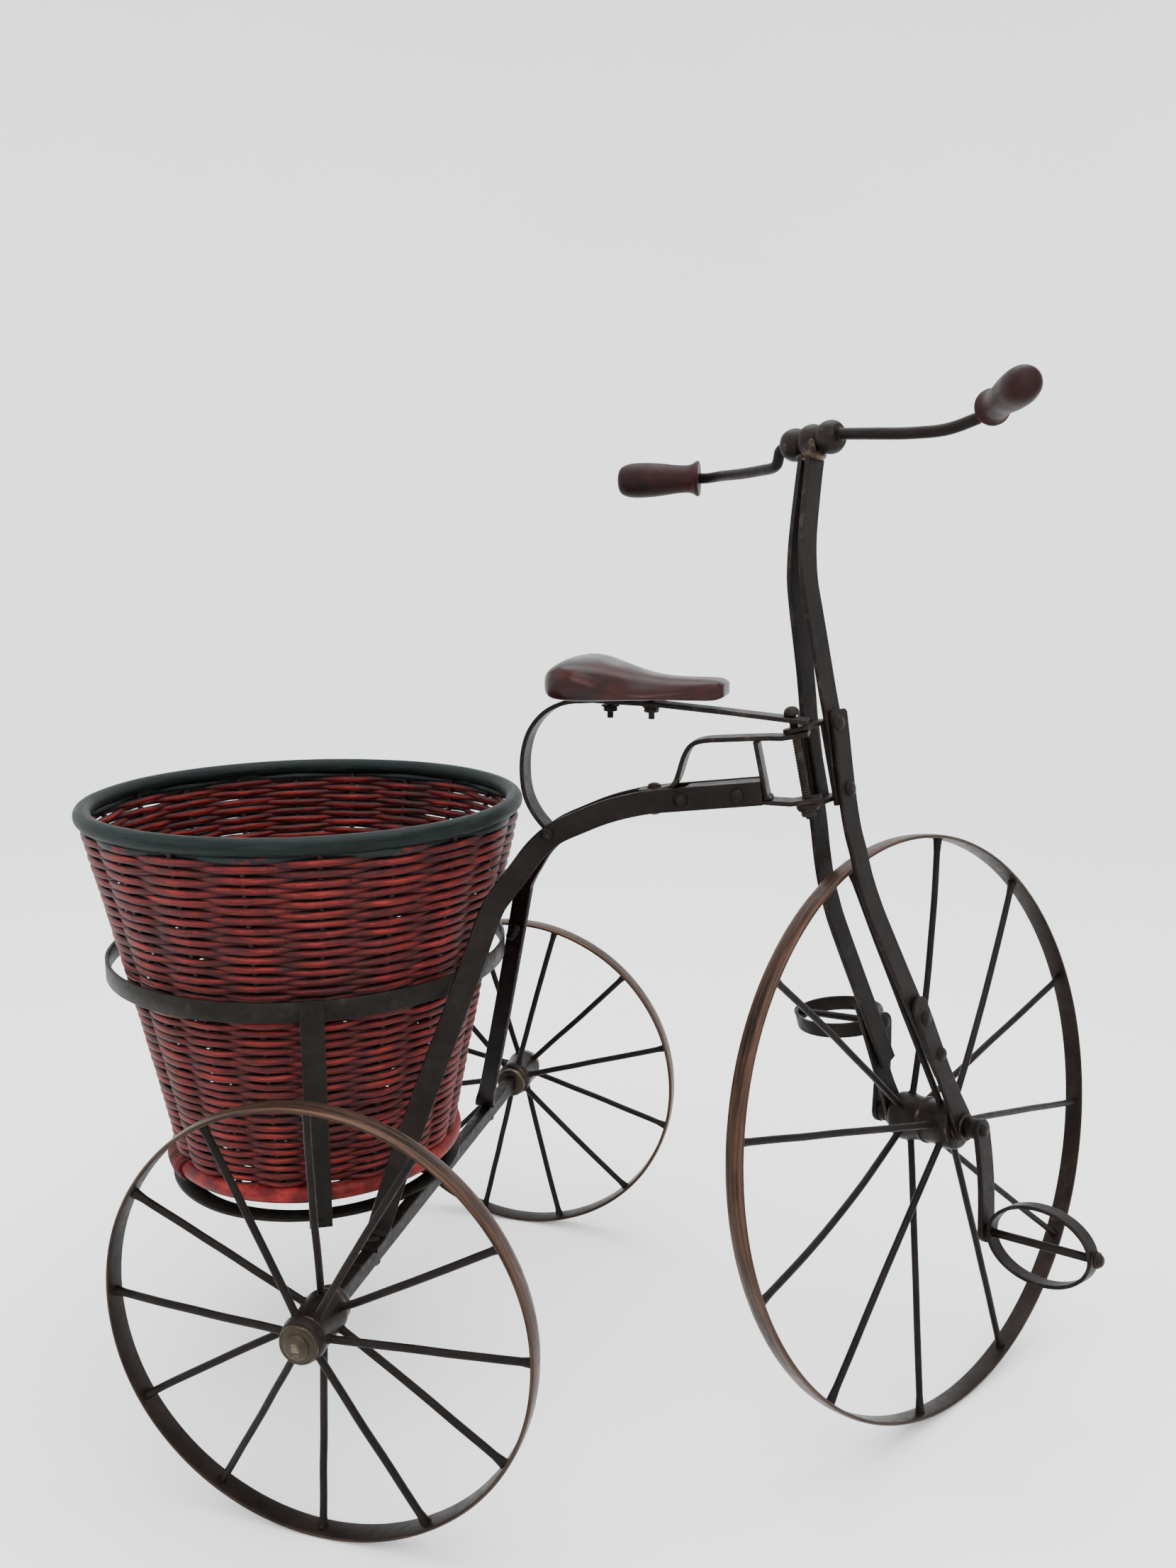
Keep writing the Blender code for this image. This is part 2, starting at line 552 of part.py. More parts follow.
def seat_spring():
    """Bent strap from the eye, round behind the seat and forward to the pivot bolt."""
    route = [(0.0950, 0, 0.4380), (0.0866, 0, 0.4478), (0.0800, 0, 0.4600), (0.0771, 0, 0.4750),
             (0.0778, 0, 0.4938), (0.0832, 0, 0.5105), (0.0945, 0, 0.5238), (0.1100, 0, 0.5312),
             (0.1300, 0, 0.5333), (0.1750, 0, 0.5318), (0.2250, 0, 0.5278), (0.2815, 0, 0.5226)]
    path = smooth_path(route[:9], 2) + [Vector(point) for point in route[9:]]
    facing = [Vector((run.z, 0, -run.x)) for run in tangents(path)]
    item = strip("seat_spring", path, facing, STRAP_WIDTH, STRAP_THICK, IRON, STATION)
    roll = cylinders("seat_spring_roll", [(EYE - Vector((0, STRAP_WIDTH / 2, 0)),
                                           EYE + Vector((0, STRAP_WIDTH / 2, 0)), 0.0055)],
                     STATION, 14)
    boolean(item, roll, "UNION")
    drill(item, [(EYE - Vector((0, 0.02, 0)), EYE + Vector((0, 0.02, 0)), RIVET_RADIUS + GAP)], 10)
    drill(item, [((x, 0, 0.520), (x, 0, 0.545), SEAT_BOLT_RADIUS + 2 * GAP) for x in SEAT_BOLTS], 10)
    drill(item, [(on_pivot(0.020), on_pivot(0.055), BOLT_RADIUS + 0.0012)], 12)


def seat():
    """Carved saddle: broad behind, waisted for the thighs, narrow at the nose."""
    # x, half width, crown height, edge height
    stations = [(0.1010, 0.0300, 0.5520, 0.5490), (0.1070, 0.0430, 0.5600, 0.5560),
                (0.1250, 0.0490, 0.5650, 0.5610), (0.1480, 0.0400, 0.5610, 0.5520),
                (0.1700, 0.0270, 0.5540, 0.5440), (0.1920, 0.0205, 0.5515, 0.5440),
                (0.2150, 0.0190, 0.5515, 0.5490), (0.2240, 0.0150, 0.5480, 0.5460)]
    across = [-1.0, -0.72, 0.0, 0.72, 1.0]
    bm = bmesh.new()
    columns, rows = len(across) - 1, len(stations) - 1
    bmesh.ops.create_grid(bm, x_segments=rows, y_segments=columns, size=1.0)
    for vert in bm.verts:
        x, half, crown, edge = stations[round((vert.co.x + 1) / 2 * rows)]
        share = across[round((vert.co.y + 1) / 2 * columns)]
        height = crown + (edge - crown) * abs(share) ** 2.5
        vert.co = Vector((x, half * share, height))
    grown = bmesh.ops.extrude_face_region(bm, geom=bm.faces[:])["geom"]
    for vert in (part for part in grown if isinstance(part, bmesh.types.BMVert)):
        vert.co.z = SEAT_FLOOR
    bmesh.ops.recalc_face_normals(bm, faces=bm.faces[:])
    item = place("seat", mesh_from(bm, "seat"), SEAT_WOOD, STATION)
    bevel = item.modifiers.new("eased edge", "BEVEL")
    bevel.width = 0.0022
    bevel.segments = 2
    bevel.angle_limit = math.radians(38)
    drill(item, [((x, 0, 0.520), (x, 0, SEAT_FLOOR + 0.0105), SEAT_BOLT_RADIUS + GAP)
                 for x in SEAT_BOLTS])


def seat_bolt(index, x):
    """Bolt down out of the seat, with its nut under the spring."""
    top, nut_top, nut_low, tip = SEAT_FLOOR + 0.0100, 0.5298, 0.5258, 0.5205
    profile = [(0.0, top), (SEAT_BOLT_RADIUS, top), (SEAT_BOLT_RADIUS, nut_top), (0.0054, nut_top),
               (0.0054, nut_low), (SEAT_BOLT_RADIUS, nut_low), (SEAT_BOLT_RADIUS, tip), (0.0, tip)]
    turned(f"seat_bolt_{index}", profile, IRON, STATION, Matrix.Translation((x, 0, 0)), 12)


def pivot_bolt():
    """Threaded bolt on the steering axis, and its domed and plain nuts."""
    top, low = 0.0412, TAB_LOW - 0.0095
    bolt = [(0.0, top), (BOLT_RADIUS, top), (BOLT_RADIUS, low), (0.0, low)]
    matrix = Matrix.Translation(PIVOT) @ along(PIVOT_AXIS)
    turned("pivot_bolt", bolt, IRON, STATION, matrix, 14)
    bore, base = BOLT_RADIUS + 0.0002, 0.0408
    dome = [(0.0, base + 0.0050), (0.0030, base + 0.0043), (0.0047, base + 0.0024),
            (0.0053, base), (bore, base), (bore, base + 0.0018), (0.0, base + 0.0018)]
    turned("pivot_dome_nut", dome, HUB_IRON, STATION, matrix, 12)
    high = TAB_LOW - STRAP_THICK / 2 - GAP
    nut = [(bore, high), (0.0072, high), (0.0072, high - 0.0012), (0.0052, high - 0.0012),
           (0.0052, high - 0.0055), (bore, high - 0.0055)]
    turned("pivot_nut", nut, HUB_IRON, STATION, matrix, 12, closed=True)


# ---------------------------------------------------------------- basket and its holder
def at_basket(height=0.0):
    return Matrix.Translation((BASKET_X, 0, height))


def band(name, outer, inner, low, high, material, steps=40):
    profile = [(inner, high), (outer, high), (outer, low), (inner, low)]
    return turned(name, profile, material, STATION, at_basket(), steps, closed=True)


def holder():
    """Hoop, lower ring, two stays and two bearers that the basket stands on."""
    band("basket_hoop", HOOP_RADIUS, HOOP_RADIUS - HOOP_THICK, HOOP_LOW, HOOP_HIGH, OLIVE, 36)
    band("basket_ring", RING_OUTER, RING_INNER, RING_LOW, RING_HIGH, OLIVE, 36)
    for name, side in (("right", -1), ("left", 1)):
        outward = Vector((math.cos(STAY_ANGLE), side * math.sin(STAY_ANGLE), 0))
        top_reach = HOOP_RADIUS + HOOP_THICK / 2 + GAP + 0.0006
        low_reach = RING_OUTER + HOOP_THICK / 2 + GAP + 0.0006
        hang = Vector((BASKET_X, 0, 0))
        top = hang + outward * top_reach + Vector((0, 0, HOOP_HIGH + 0.0015))
        knee = hang + outward * top_reach + Vector((0, 0, HOOP_LOW - 0.0010))
        low = hang + outward * low_reach + Vector((0, 0, RING_LOW - 0.0035))
        shin = hang + outward * low_reach + Vector((0, 0, RING_HIGH + 0.0010))
        strip("basket_stay_" + name, [top, knee, shin, low], outward, 0.0165, HOOP_THICK, OLIVE,
              STATION)
    for name, side in (("right", -1), ("left", 1)):
        y = side * 0.018
        half = math.sqrt(RING_OUTER ** 2 - y ** 2) - 0.002
        path = [Vector((BASKET_X - half, y, 0.1645)), Vector((BASKET_X + half - 0.006, y, 0.1645))]
        strip("basket_bearer_" + name, path, Vector((0, 1, 0)), 2 * (0.1645 - RING_HIGH - GAP),
              0.0032, OLIVE, STATION)


def basket_wall_radius(height):
    """Outside of the woven wall: a cone that flares a little to the top."""
    share = (height - 0.180) / (0.440 - 0.180)
    return 0.1105 + 0.0490 * share + 0.0060 * share * share



def basket():
    """Woven tub with its floor, a wrapped foot and a round rim; it lifts out as one."""
    lift = empty("basket_lift", STATION, at_basket())
    low, high = BASKET_FOOT_Z + 2 * BASKET_FOOT_TUBE + GAP, BASKET_RIM_Z - BASKET_RIM_TUBE - GAP
    heights = [high, 0.385, 0.325, 0.260, low]
    outside = [(basket_wall_radius(height), height) for height in heights]
    floor = low + 0.0060
    inside = [(basket_wall_radius(height) - BASKET_WALL, max(height, floor))
              for height in reversed(heights)]
    profile = [(0.0, floor)] + [(radius, height) for radius, height in inside]
    wall = outside + [(0.0, low)]
    turned("basket_body", profile + wall, WICKER, lift, None, 28)
    circle = [(math.cos(turn), math.sin(turn)) for turn in
              [math.pi / 2 - 2 * math.pi * step / 8 for step in range(8)]]
    top = [(BASKET_RIM_RADIUS + BASKET_RIM_TUBE * c, BASKET_RIM_Z + BASKET_RIM_TUBE * s)
           for c, s in circle]
    turned("basket_rim", top, RIM_GREEN, lift, None, 32, closed=True)
    middle = BASKET_FOOT_Z + BASKET_FOOT_TUBE
    foot = [(BASKET_FOOT_RADIUS + BASKET_FOOT_TUBE * c, middle + BASKET_FOOT_TUBE * s)
            for c, s in circle]
    turned("basket_foot", foot, WICKER, lift, None, 28, closed=True)


# ---------------------------------------------------------------- fork and handlebar
UPPER_ROUTE = [(0.3024, 0.0036, 0.7065), (0.2985, 0.0037, 0.6915), (0.2914, 0.0041, 0.6600),
               (0.2882, 0.0048, 0.6400), (0.2873, 0.0058, 0.6200), (0.2898, 0.0068, 0.6000),
               (0.2929, 0.0075, 0.5800), (0.2959, 0.0082, 0.5600), (0.2983, 0.0091, 0.5420),
               (0.3004, UPPER_LEG_Y, 0.5260), (0.3020, UPPER_LEG_Y, 0.5150),
               (0.3048, UPPER_LEG_Y, 0.4900), (0.3085, UPPER_LEG_Y, 0.4640)]
LOWER_ROUTE = [(0.3032, LEG_Y, 0.5225), (0.3044, LEG_Y, 0.5110), (0.3064, LEG_Y, 0.4900),
               (0.3094, LEG_Y, 0.4650), (0.3125, LEG_Y + 0.0006, 0.4450), (0.3156, 0.0162, 0.4300),
               (0.3201, 0.0173, 0.4100), (0.3274, 0.0184, 0.3900), (0.3358, 0.0194, 0.3720),
               (0.3620, 0.0214, 0.3220), (0.3780, 0.0227, 0.2920), (0.3930, 0.0240, 0.2640)]


def leg_y(z):
    """How far out the leg's centre line stands at a height, near its lower end."""
    return 0.0227 + (0.2920 - z) * 0.0460


def fork_leg(side_name, side):
    """Upper bar hung from the knob and, outside it, the lower bar down to the axle plate."""
    bracket_holes = [(on_pivot(height, forward, 0.004 * side) - PIVOT,
                      on_pivot(height, forward, 0.03 * side) - PIVOT, RIVET_RADIUS + GAP)
                     for height, forward in BRACKET_RIVETS]
    path = smooth_path([local(x, side * y, z) for x, y, z in UPPER_ROUTE], 2)
    item = strip("fork_upper_" + side_name, path, Vector((0, side, 0)), LEG_WIDTH, LEG_THICK,
                 IRON, STEERING)
    drill(item, bracket_holes)
    path = smooth_path([local(x, side * y, z) for x, y, z in LOWER_ROUTE], 2)
    stations, widths = rounded(path, LEG_WIDTH, end=False)
    item = strip("fork_lower_" + side_name, stations, Vector((0, side, 0)), LEG_WIDTH, LEG_THICK,
                 IRON, STEERING, widths)
    drill(item, bracket_holes + [(local(x, 0.010 * side, z), local(x, 0.04 * side, z),
                                  RIVET_RADIUS + GAP) for x, z in PLATE_RIVETS])


def fork_plate(side_name, side):
    """Plate riveted outside the leg's lower end, down to the front axle."""
    def outside(x, z):
        return local(x, side * (leg_y(z) + LEG_THICK / 2 + STRAP_THICK / 2 + 3 * GAP), z)
    path = [outside(0.3665, 0.3145), outside(0.3880, 0.2640), outside(FRONT_HUB.x, FRONT_HUB.z)]
    stations, widths = rounded(path, LEG_WIDTH)
    item = strip("fork_plate_" + side_name, stations, Vector((0, side, 0)), LEG_WIDTH,
                 STRAP_THICK, IRON, STEERING, widths)
    for index, (x, z) in enumerate(PLATE_RIVETS):
        grip = LEG_THICK + STRAP_THICK + 2 * GAP
        middle = leg_y(z) + STRAP_THICK / 2 + GAP
        boolean(item, rivet(f"plate_rivet_{side_name}_{index + 1}", local(x, side * middle, z),
                            (0, 1, 0), grip, STEERING), "UNION")
    hub = FRONT_HUB
    drill(item, [(local(hub.x, 0.020 * side, hub.z), local(hub.x, 0.045 * side, hub.z),
                  AXLE_RADIUS + GAP)], 14)


def fork_bracket():
    """Open box bracket between the legs, with tabs above and below the head straps."""
    inner = UPPER_LEG_Y - LEG_THICK / 2 - GAP
    back, front, flange = 0.0150, 0.0320, 0.0026

    def tab(name, height):
        reach = 0.0105
        outline = [(front, -inner), (front, inner), (back, inner)]
        outline += [(reach * math.cos(turn), inner * math.sin(turn))
                    for turn in [math.radians(90 + 22.5 * step) for step in range(9)]]
        outline += [(back, -inner)]
        bm = bmesh.new()
        face = bm.faces.new([bm.verts.new((u, y, height - STRAP_THICK / 2)) for u, y in outline])
        grown = bmesh.ops.extrude_face_region(bm, geom=[face])["geom"]
        bmesh.ops.translate(bm, vec=(0, 0, STRAP_THICK),
                            verts=[part for part in grown if isinstance(part, bmesh.types.BMVert)])
        bmesh.ops.recalc_face_normals(bm, faces=bm.faces[:])
        return place(name, mesh_from(bm, name), IRON, STEERING, Matrix.Rotation(-RAKE, 4, "Y"), False)

    item = tab("fork_bracket", TAB_HIGH)
    boolean(item, tab("fork_bracket_lower_tab", TAB_LOW), "UNION")
    bm = bmesh.new()
    high, low = TAB_HIGH + STRAP_THICK * 0.3, TAB_LOW - STRAP_THICK * 0.3
    for side in (-1, 1):
        middle = Vector(((back + front) / 2, side * (inner - flange / 2), (high + low) / 2))
        size = Matrix.Diagonal((front - back - 0.0002, flange, high - low, 1))
        bmesh.ops.create_cube(bm, size=1.0, matrix=Matrix.Translation(middle) @ size)
    walls = place("fork_bracket_flanges", mesh_from(bm, "fork_bracket_flanges"), IRON, STEERING,
                  Matrix.Rotation(-RAKE, 4, "Y"), False)
    boolean(item, walls, "UNION")
    for side_name, side in (("right", -1), ("left", 1)):
        for index, (height, forward) in enumerate(BRACKET_RIVETS):
            grip = 2 * LEG_THICK + flange + 2 * GAP
            middle = side * (inner - flange + grip / 2)
            pin = rivet(f"bracket_rivet_{side_name}_{index + 1}",
                        on_pivot(height, forward, middle) - PIVOT, (0, 1, 0), grip, STEERING,
                        dome=0.0026)
            boolean(item, pin, "UNION")
    drill(item, [(on_pivot(-0.05) - PIVOT, on_pivot(0.05) - PIVOT, BOLT_RADIUS + GAP)])


def on_bar(x, y, rise):
    """A place on the tilted handlebar, level with the knob's middle plus a rise."""
    return KNOB - PIVOT + Matrix.Rotation(BAR_TILT, 3, "X") @ Vector((x - KNOB.x, y, rise))


def knob():
    """Three turned beads in a row, welded on the tops of the legs."""
    bead, neck, reach, spacing = 0.0118, 0.0088, 0.0238, 0.0160
    outline = [(0.0, reach), (neck, reach)]
    for centre in (spacing, 0.0, -spacing):
        for turn in (48, 0, -48):
            angle = math.radians(turn)
            half = (reach - spacing) * math.sin(angle) / math.sin(math.radians(48))
            outline.append((bead * math.cos(angle) ** 0.7, centre + half * 0.96))
    outline += [(neck, -reach), (0.0, -reach)]
    matrix = Matrix.Translation(on_bar(KNOB.x, 0, 0)) @ Matrix.Rotation(BAR_TILT, 4, "X")
    item = turned("handlebar_knob", outline, HUB_IRON, STEERING, matrix @ frame_y((0, 0, 0)), 14)
    holes = [((0, 0, side * 0.0165), (0, 0, side * 0.0260), BAR_ROD_RADIUS + 3 * GAP)
             for side in (-1, 1)]
    cutter = cylinders("knob_sockets", holes, item, 12)
    boolean(item, cutter, "DIFFERENCE")


def handlebar():
    x = KNOB.x
    right = [(x, -0.0170, 0.0), (x, -0.0255, 0.0), (0.3065, -0.0500, -0.0055),
             (0.3130, -0.0750, -0.0070), (0.3200, -0.0980, -0.0055), (0.3255, -0.1150, -0.0012),
             (0.3262, -0.1230, 0.0015), (0.3237, -0.1303, 0.0031), (0.3137, -0.1432, 0.0034)]
    left = [(x, 0.0170, 0.0), (x, 0.0255, 0.0), (0.3065, 0.0295, -0.0045),
            (0.3085, 0.0355, -0.0085), (0.3115, 0.0500, -0.0095), (0.3185, 0.0800, -0.0085),
            (0.3250, 0.1080, -0.0048), (0.3262, 0.1220, -0.0020), (0.3237, 0.1303, -0.0006),
            (0.3137, 0.1432, -0.0004)]
    for side_name, route in (("right", right), ("left", left)):
        points = [on_bar(*point) for point in route]
        rod("handlebar_rod_" + side_name, points, BAR_ROD_RADIUS, IRON, STEERING, 2, 2)
        grip(side_name, points[-2], points[-1])


def grip(side_name, start, end):
    """Turned wooden handle on the end of the rod."""
    axis = (end - start).normalized()
    bore = BAR_ROD_RADIUS + GAP
    profile = [(0.0, GRIP_LENGTH), (0.0055, GRIP_LENGTH - 0.0006), (0.0100, GRIP_LENGTH - 0.0050),
               (0.0120, GRIP_LENGTH - 0.0120), (0.0123, 0.0400), (0.0112, 0.0290), (0.0093, 0.0170),
               (0.0092, 0.0090), (0.0112, 0.0030), (0.0122, 0.0006), (0.0116, 0.0), (bore, 0.0),
               (bore, 0.0240), (0.0, 0.0240)]
    matrix = Matrix.Translation(start) @ along(axis)
    turned("grip_" + side_name, profile, GRIP_WOOD, STEERING, matrix, 16)


# ---------------------------------------------------------------- the whole tricycle
def build():
    crossbar()
    rear_wheel("right", -1, math.radians(90.0))
    rear_wheel("left", 1, math.radians(74.4))
    spine_bar("right", -1)
    spine_bar("left", 1)
    head()
    spacer()
    frame_rivets()
    seat_spring()
    seat()
    for index, x in enumerate(SEAT_BOLTS):
        seat_bolt(index + 1, x)
    pivot_bolt()
    holder()
    basket()
    for side_name, side in (("right", -1), ("left", 1)):
        fork_leg(side_name, side)
        fork_plate(side_name, side)
    fork_bracket()
    knob()
    handlebar()
    front_wheel()
    for side_name, side in (("right", -1), ("left", 1)):
        pedal(side_name, side, crank(side_name, side))


build()
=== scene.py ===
from math import copysign, cos, floor, pi, radians, sin, sqrt

import bmesh
import bpy
from mathutils import Matrix, Vector, noise


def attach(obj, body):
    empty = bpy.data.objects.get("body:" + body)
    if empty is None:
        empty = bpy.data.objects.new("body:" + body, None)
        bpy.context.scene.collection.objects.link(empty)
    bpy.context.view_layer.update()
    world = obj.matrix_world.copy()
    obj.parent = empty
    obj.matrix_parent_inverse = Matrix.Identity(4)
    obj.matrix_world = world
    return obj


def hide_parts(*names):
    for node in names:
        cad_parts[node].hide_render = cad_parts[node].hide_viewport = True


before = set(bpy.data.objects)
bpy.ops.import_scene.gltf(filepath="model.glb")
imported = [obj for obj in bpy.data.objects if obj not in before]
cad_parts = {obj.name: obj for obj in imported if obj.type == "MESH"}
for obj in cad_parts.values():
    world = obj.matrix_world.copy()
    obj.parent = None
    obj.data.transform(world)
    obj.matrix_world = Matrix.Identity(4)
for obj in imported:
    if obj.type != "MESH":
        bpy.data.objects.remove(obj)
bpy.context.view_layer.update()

# ---- dimensions
# As in the CAD, but for four measured again later: SPOKE_RADIUS, FOOT_TUBE, BAR_ROD_RADIUS
# and KNOB.
STATION = Matrix.Translation((-0.1174, -0.0065, 0.0))     # fixed frame, from the rear axle
GAP = 0.0003
REAR_RADIUS, FRONT_RADIUS = 0.15, 0.2165
TRACK_HALF = 0.2076
RIM_HALF, RIM_THICK = 0.0075, 0.0032
SPOKES, SPOKE_RADIUS = 12, 0.0026
RAKE, STEER = radians(11.5), radians(56.8)
PIVOT = Vector((0.2779, 0.0, 0.4878))
PIVOT_AXIS = Vector((-sin(RAKE), 0.0, cos(RAKE)))
PIVOT_SQUARE = Vector((cos(RAKE), 0.0, sin(RAKE)))
FRONT_HUB = Vector((0.4085, 0.0, 0.22077))
STRAP_WIDTH, STRAP_THICK = 0.019, 0.0032
BAR_WIDTH, BAR_THICK = 0.0168, 0.0038
LEG_WIDTH, LEG_THICK = 0.0164, 0.0037
LEG_Y = 0.0142
LEG_OVERRUN, LEG_CORNER = LEG_WIDTH * 0.46, 0.0022      # squared top of a lower leg
PLATE_EYE = 0.0212
UPPER_LEG_Y = LEG_Y - LEG_THICK - GAP
BOLT_RADIUS = 0.003
CROSSBAR_Z, CROSSBAR_HIGH, CROSSBAR_DEEP = 0.15, 0.0125, 0.0095
AXLE_RADIUS = 0.0042
HUB_HALF, HUB_RADIUS = 0.0205, 0.0155
FRONT_HUB_HALF, FRONT_HUB_RADIUS = 0.0262, 0.0182
CRANKS = {"right": (0.073, radians(180)), "left": (0.068, radians(8))}
PEDAL_LEANS = {"right": radians(90), "left": radians(-15)}
CRANK_Y, PEDAL_MID_Y = 0.045, 0.0885
CRANK_WIDTH, CRANK_THICK = 0.0165, 0.0042
PEDAL_LONG, PEDAL_SHORT, PEDAL_BAND, PEDAL_THICK = 0.0385, 0.0265, 0.012, 0.0026
ROD_RADIUS = 0.003
BASKET_X = -0.1023
BASKET_RIM_Z, BASKET_RIM_RADIUS, BASKET_RIM_TUBE = 0.448, 0.1616, 0.0065
FOOT_Z, FOOT_RADIUS, FOOT_TUBE = 0.1761, 0.1085, 0.0063
HOOP_RADIUS, HOOP_THICK, HOOP_LOW, HOOP_HIGH = 0.1527, 0.0026, 0.324, 0.3385
RING_OUTER, RING_INNER, RING_LOW, RING_HIGH = 0.1135, 0.0995, 0.1566, 0.1592
STAY_ANGLE, STAY_WIDTH = radians(62.5), 0.0165
BEARER_Z, BEARER_Y, BEARER_THICK = 0.1645, 0.018, 0.0032
BAR_ROD_RADIUS, BAR_TILT = 0.0041, 0.06
KNOB = Vector((0.305, 0.0, 0.7208))
TIE_Y = 0.12
BAR_INNER = STRAP_WIDTH / 2 + GAP
BAR_Y = BAR_INNER + BAR_THICK / 2
SPINE_RIVETS = (0.1953, 0.2353)
EYE = Vector((0.0975, 0.0, 0.4353))
HEAD_LOW, HEAD_HIGH = -0.0205, 0.0255
TAB_LOW, TAB_HIGH = HEAD_LOW - STRAP_THICK - 2 * GAP, HEAD_HIGH + STRAP_THICK + 2 * GAP
SEAT_BOLTS, SEAT_BOLT_RADIUS, SEAT_FLOOR = (0.1412, 0.1713), 0.0025, 0.5362
PLATE_RIVETS = ((0.371, 0.306), (0.386, 0.278))
BRACKET_RIVETS = ((0.0275, 0.0285), (-0.0196, 0.0288))
STAKES, STAKE_TURN = 20, radians(12.8)
UP = Vector((0, 0, 1))
SIDES = (("right", -1), ("left", 1))

TURNED = Matrix.Rotation(STEER, 4, PIVOT_AXIS)
# Takes straight-ahead coordinates of the steered front to its turned place.
AHEAD = STATION @ Matrix.Translation(PIVOT) @ TURNED @ Matrix.Translation(-PIVOT)
AXLE = AHEAD @ Matrix.Translation(FRONT_HUB)


def tenths(*rows):
    """Rows written in ten-thousandths: tenths of a millimetre, or dark linear colours."""
    return [tuple(value / 10000 for value in row) for row in rows]


# ---- node materials
class Graph:
    """A material's node tree, written as calls that give back sockets."""

    def __init__(self, name):
        self.material = bpy.data.materials.new(name)
        self.material.use_nodes = True
        self.tree = self.material.node_tree
        self.shader = self.tree.nodes["Principled BSDF"]
        self.place = self.tree.nodes.new("ShaderNodeTexCoord").outputs["Object"]

    def feed(self, socket, value):
        if isinstance(value, bpy.types.NodeSocket):
            self.tree.links.new(value, socket)
        else:
            socket.default_value = (*value, 1.0) if isinstance(value, tuple) and \
                len(value) == 3 and socket.type == "RGBA" else value

    def node(self, kind, sockets, **settings):
        """New node, its inputs fed by name or number after its settings."""
        item = self.tree.nodes.new("ShaderNode" + kind)
        for key, value in settings.items():
            setattr(item, key, value)
        for key, value in sockets.items():
            self.feed(item.inputs[key], value)
        return item

    def mark(self, name):
        return self.node("Attribute", {}, attribute_name=name).outputs["Fac"]

    def stretch(self, vector, scale):
        return self.node("VectorMath", {0: vector, 1: scale}, operation="MULTIPLY").outputs[0]

    def join(self, x, y, z):
        return self.node("CombineXYZ", {0: x, 1: y, 2: z}).outputs[0]

    def noise(self, scale, detail=4.0, rough=0.55, vector=None, twist=0.0):
        return self.node("TexNoise", {"Vector": vector or self.place, "Scale": scale,
            "Detail": detail, "Roughness": rough, "Distortion": twist}).outputs[0]

    def ramp(self, value, *stops):
        item = self.node("ValToRGB", {0: value})
        elements = item.color_ramp.elements
        while len(elements) < len(stops):
            elements.new(0.5)
        for element, (position, colour) in zip(elements, stops):
            element.position, element.color = position, (*colour, 1.0)
        return item.outputs[0]

    def span(self, value, low, high, to_low=0.0, to_high=1.0):
        numbers = dict(enumerate((value, low, high, to_low, to_high)))
        return self.node("MapRange", numbers).outputs[0]

    def mix(self, share, first, second):
        return self.node("Mix", {0: share, 6: first, 7: second}, data_type="RGBA").outputs[2]

    def bump(self, height, distance, strength=1.0, normal=None):
        sockets = {"Strength": strength, "Distance": distance, "Height": height}
        if normal:
            sockets["Normal"] = normal
        return self.node("Bump", sockets).outputs[0]

    def sums(self, operation, first, second=0.0):
        return self.node("Math", {0: first, 1: second}, operation=operation).outputs[0]

    def times(self, first, second):
        return self.sums("MULTIPLY", first, second)

    def plus(self, first, second):
        return self.sums("ADD", first, second)

    def course(self, run, turn, far=0.0):
        """Place for a texture drawn out along a piece, from its marks."""
        return self.join(self.times(self.mark("along"), run), self.times(self.mark("around"), turn),
            far)

    def done(self, colour, roughness, normal, **constants):
        for key, value in (("Base Color", colour), ("Roughness", roughness), ("Normal", normal)):
            self.feed(self.shader.inputs[key], value)
        for name, value in constants.items():
            self.shader.inputs[name.replace("_", " ")].default_value = value
        return self.material


def metal(name, colours, smooth, rough, metallic, rubbed=(0.5, 0.66), streaked=False):
    """Aged iron: mottled browns, a rubbed colour where the wear mark and a noise agree."""
    g = Graph(name)
    dark, middle, light, worn = colours
    broad = g.noise(26.0, 5.0, 0.62)
    mottle = g.noise(150.0, 4.0, 0.65, twist=0.4)
    speck = g.noise(1100.0, 2.0, 0.5)
    blend = g.plus(g.times(broad, 0.62), g.times(mottle, 0.38))
    base = g.ramp(blend, (0.3, dark), (0.52, middle), (0.78, light))
    base = g.mix(g.span(speck, 0.62, 0.76, 0.0, 0.4), base, light)
    scuff = g.noise(70.0, 5.0, 0.7)
    if streaked:
        scuff = g.noise(1.0, 6.0, 0.66, g.course(14.0, 2.4))
    patch = g.plus(g.times(scuff, 0.6), g.times(g.mark("wear"), 0.22))
    rub = g.times(g.span(patch, *rubbed), g.span(g.mark("wear"), 0.0, 0.35))
    colour = g.mix(rub, base, worn)
    matt = g.span(mottle, 0.3, 0.72, smooth, rough)
    matt = g.sums("SUBTRACT", matt, g.times(rub, 0.08))
    normal = g.bump(g.noise(95.0, 3.0, 0.5), 0.0006, 0.5)
    normal = g.bump(g.noise(520.0, 4.0, 0.7), 0.00018, 0.7, normal)
    return g.done(colour, matt, normal, Metallic=metallic, Specular_IOR_Level=0.13)


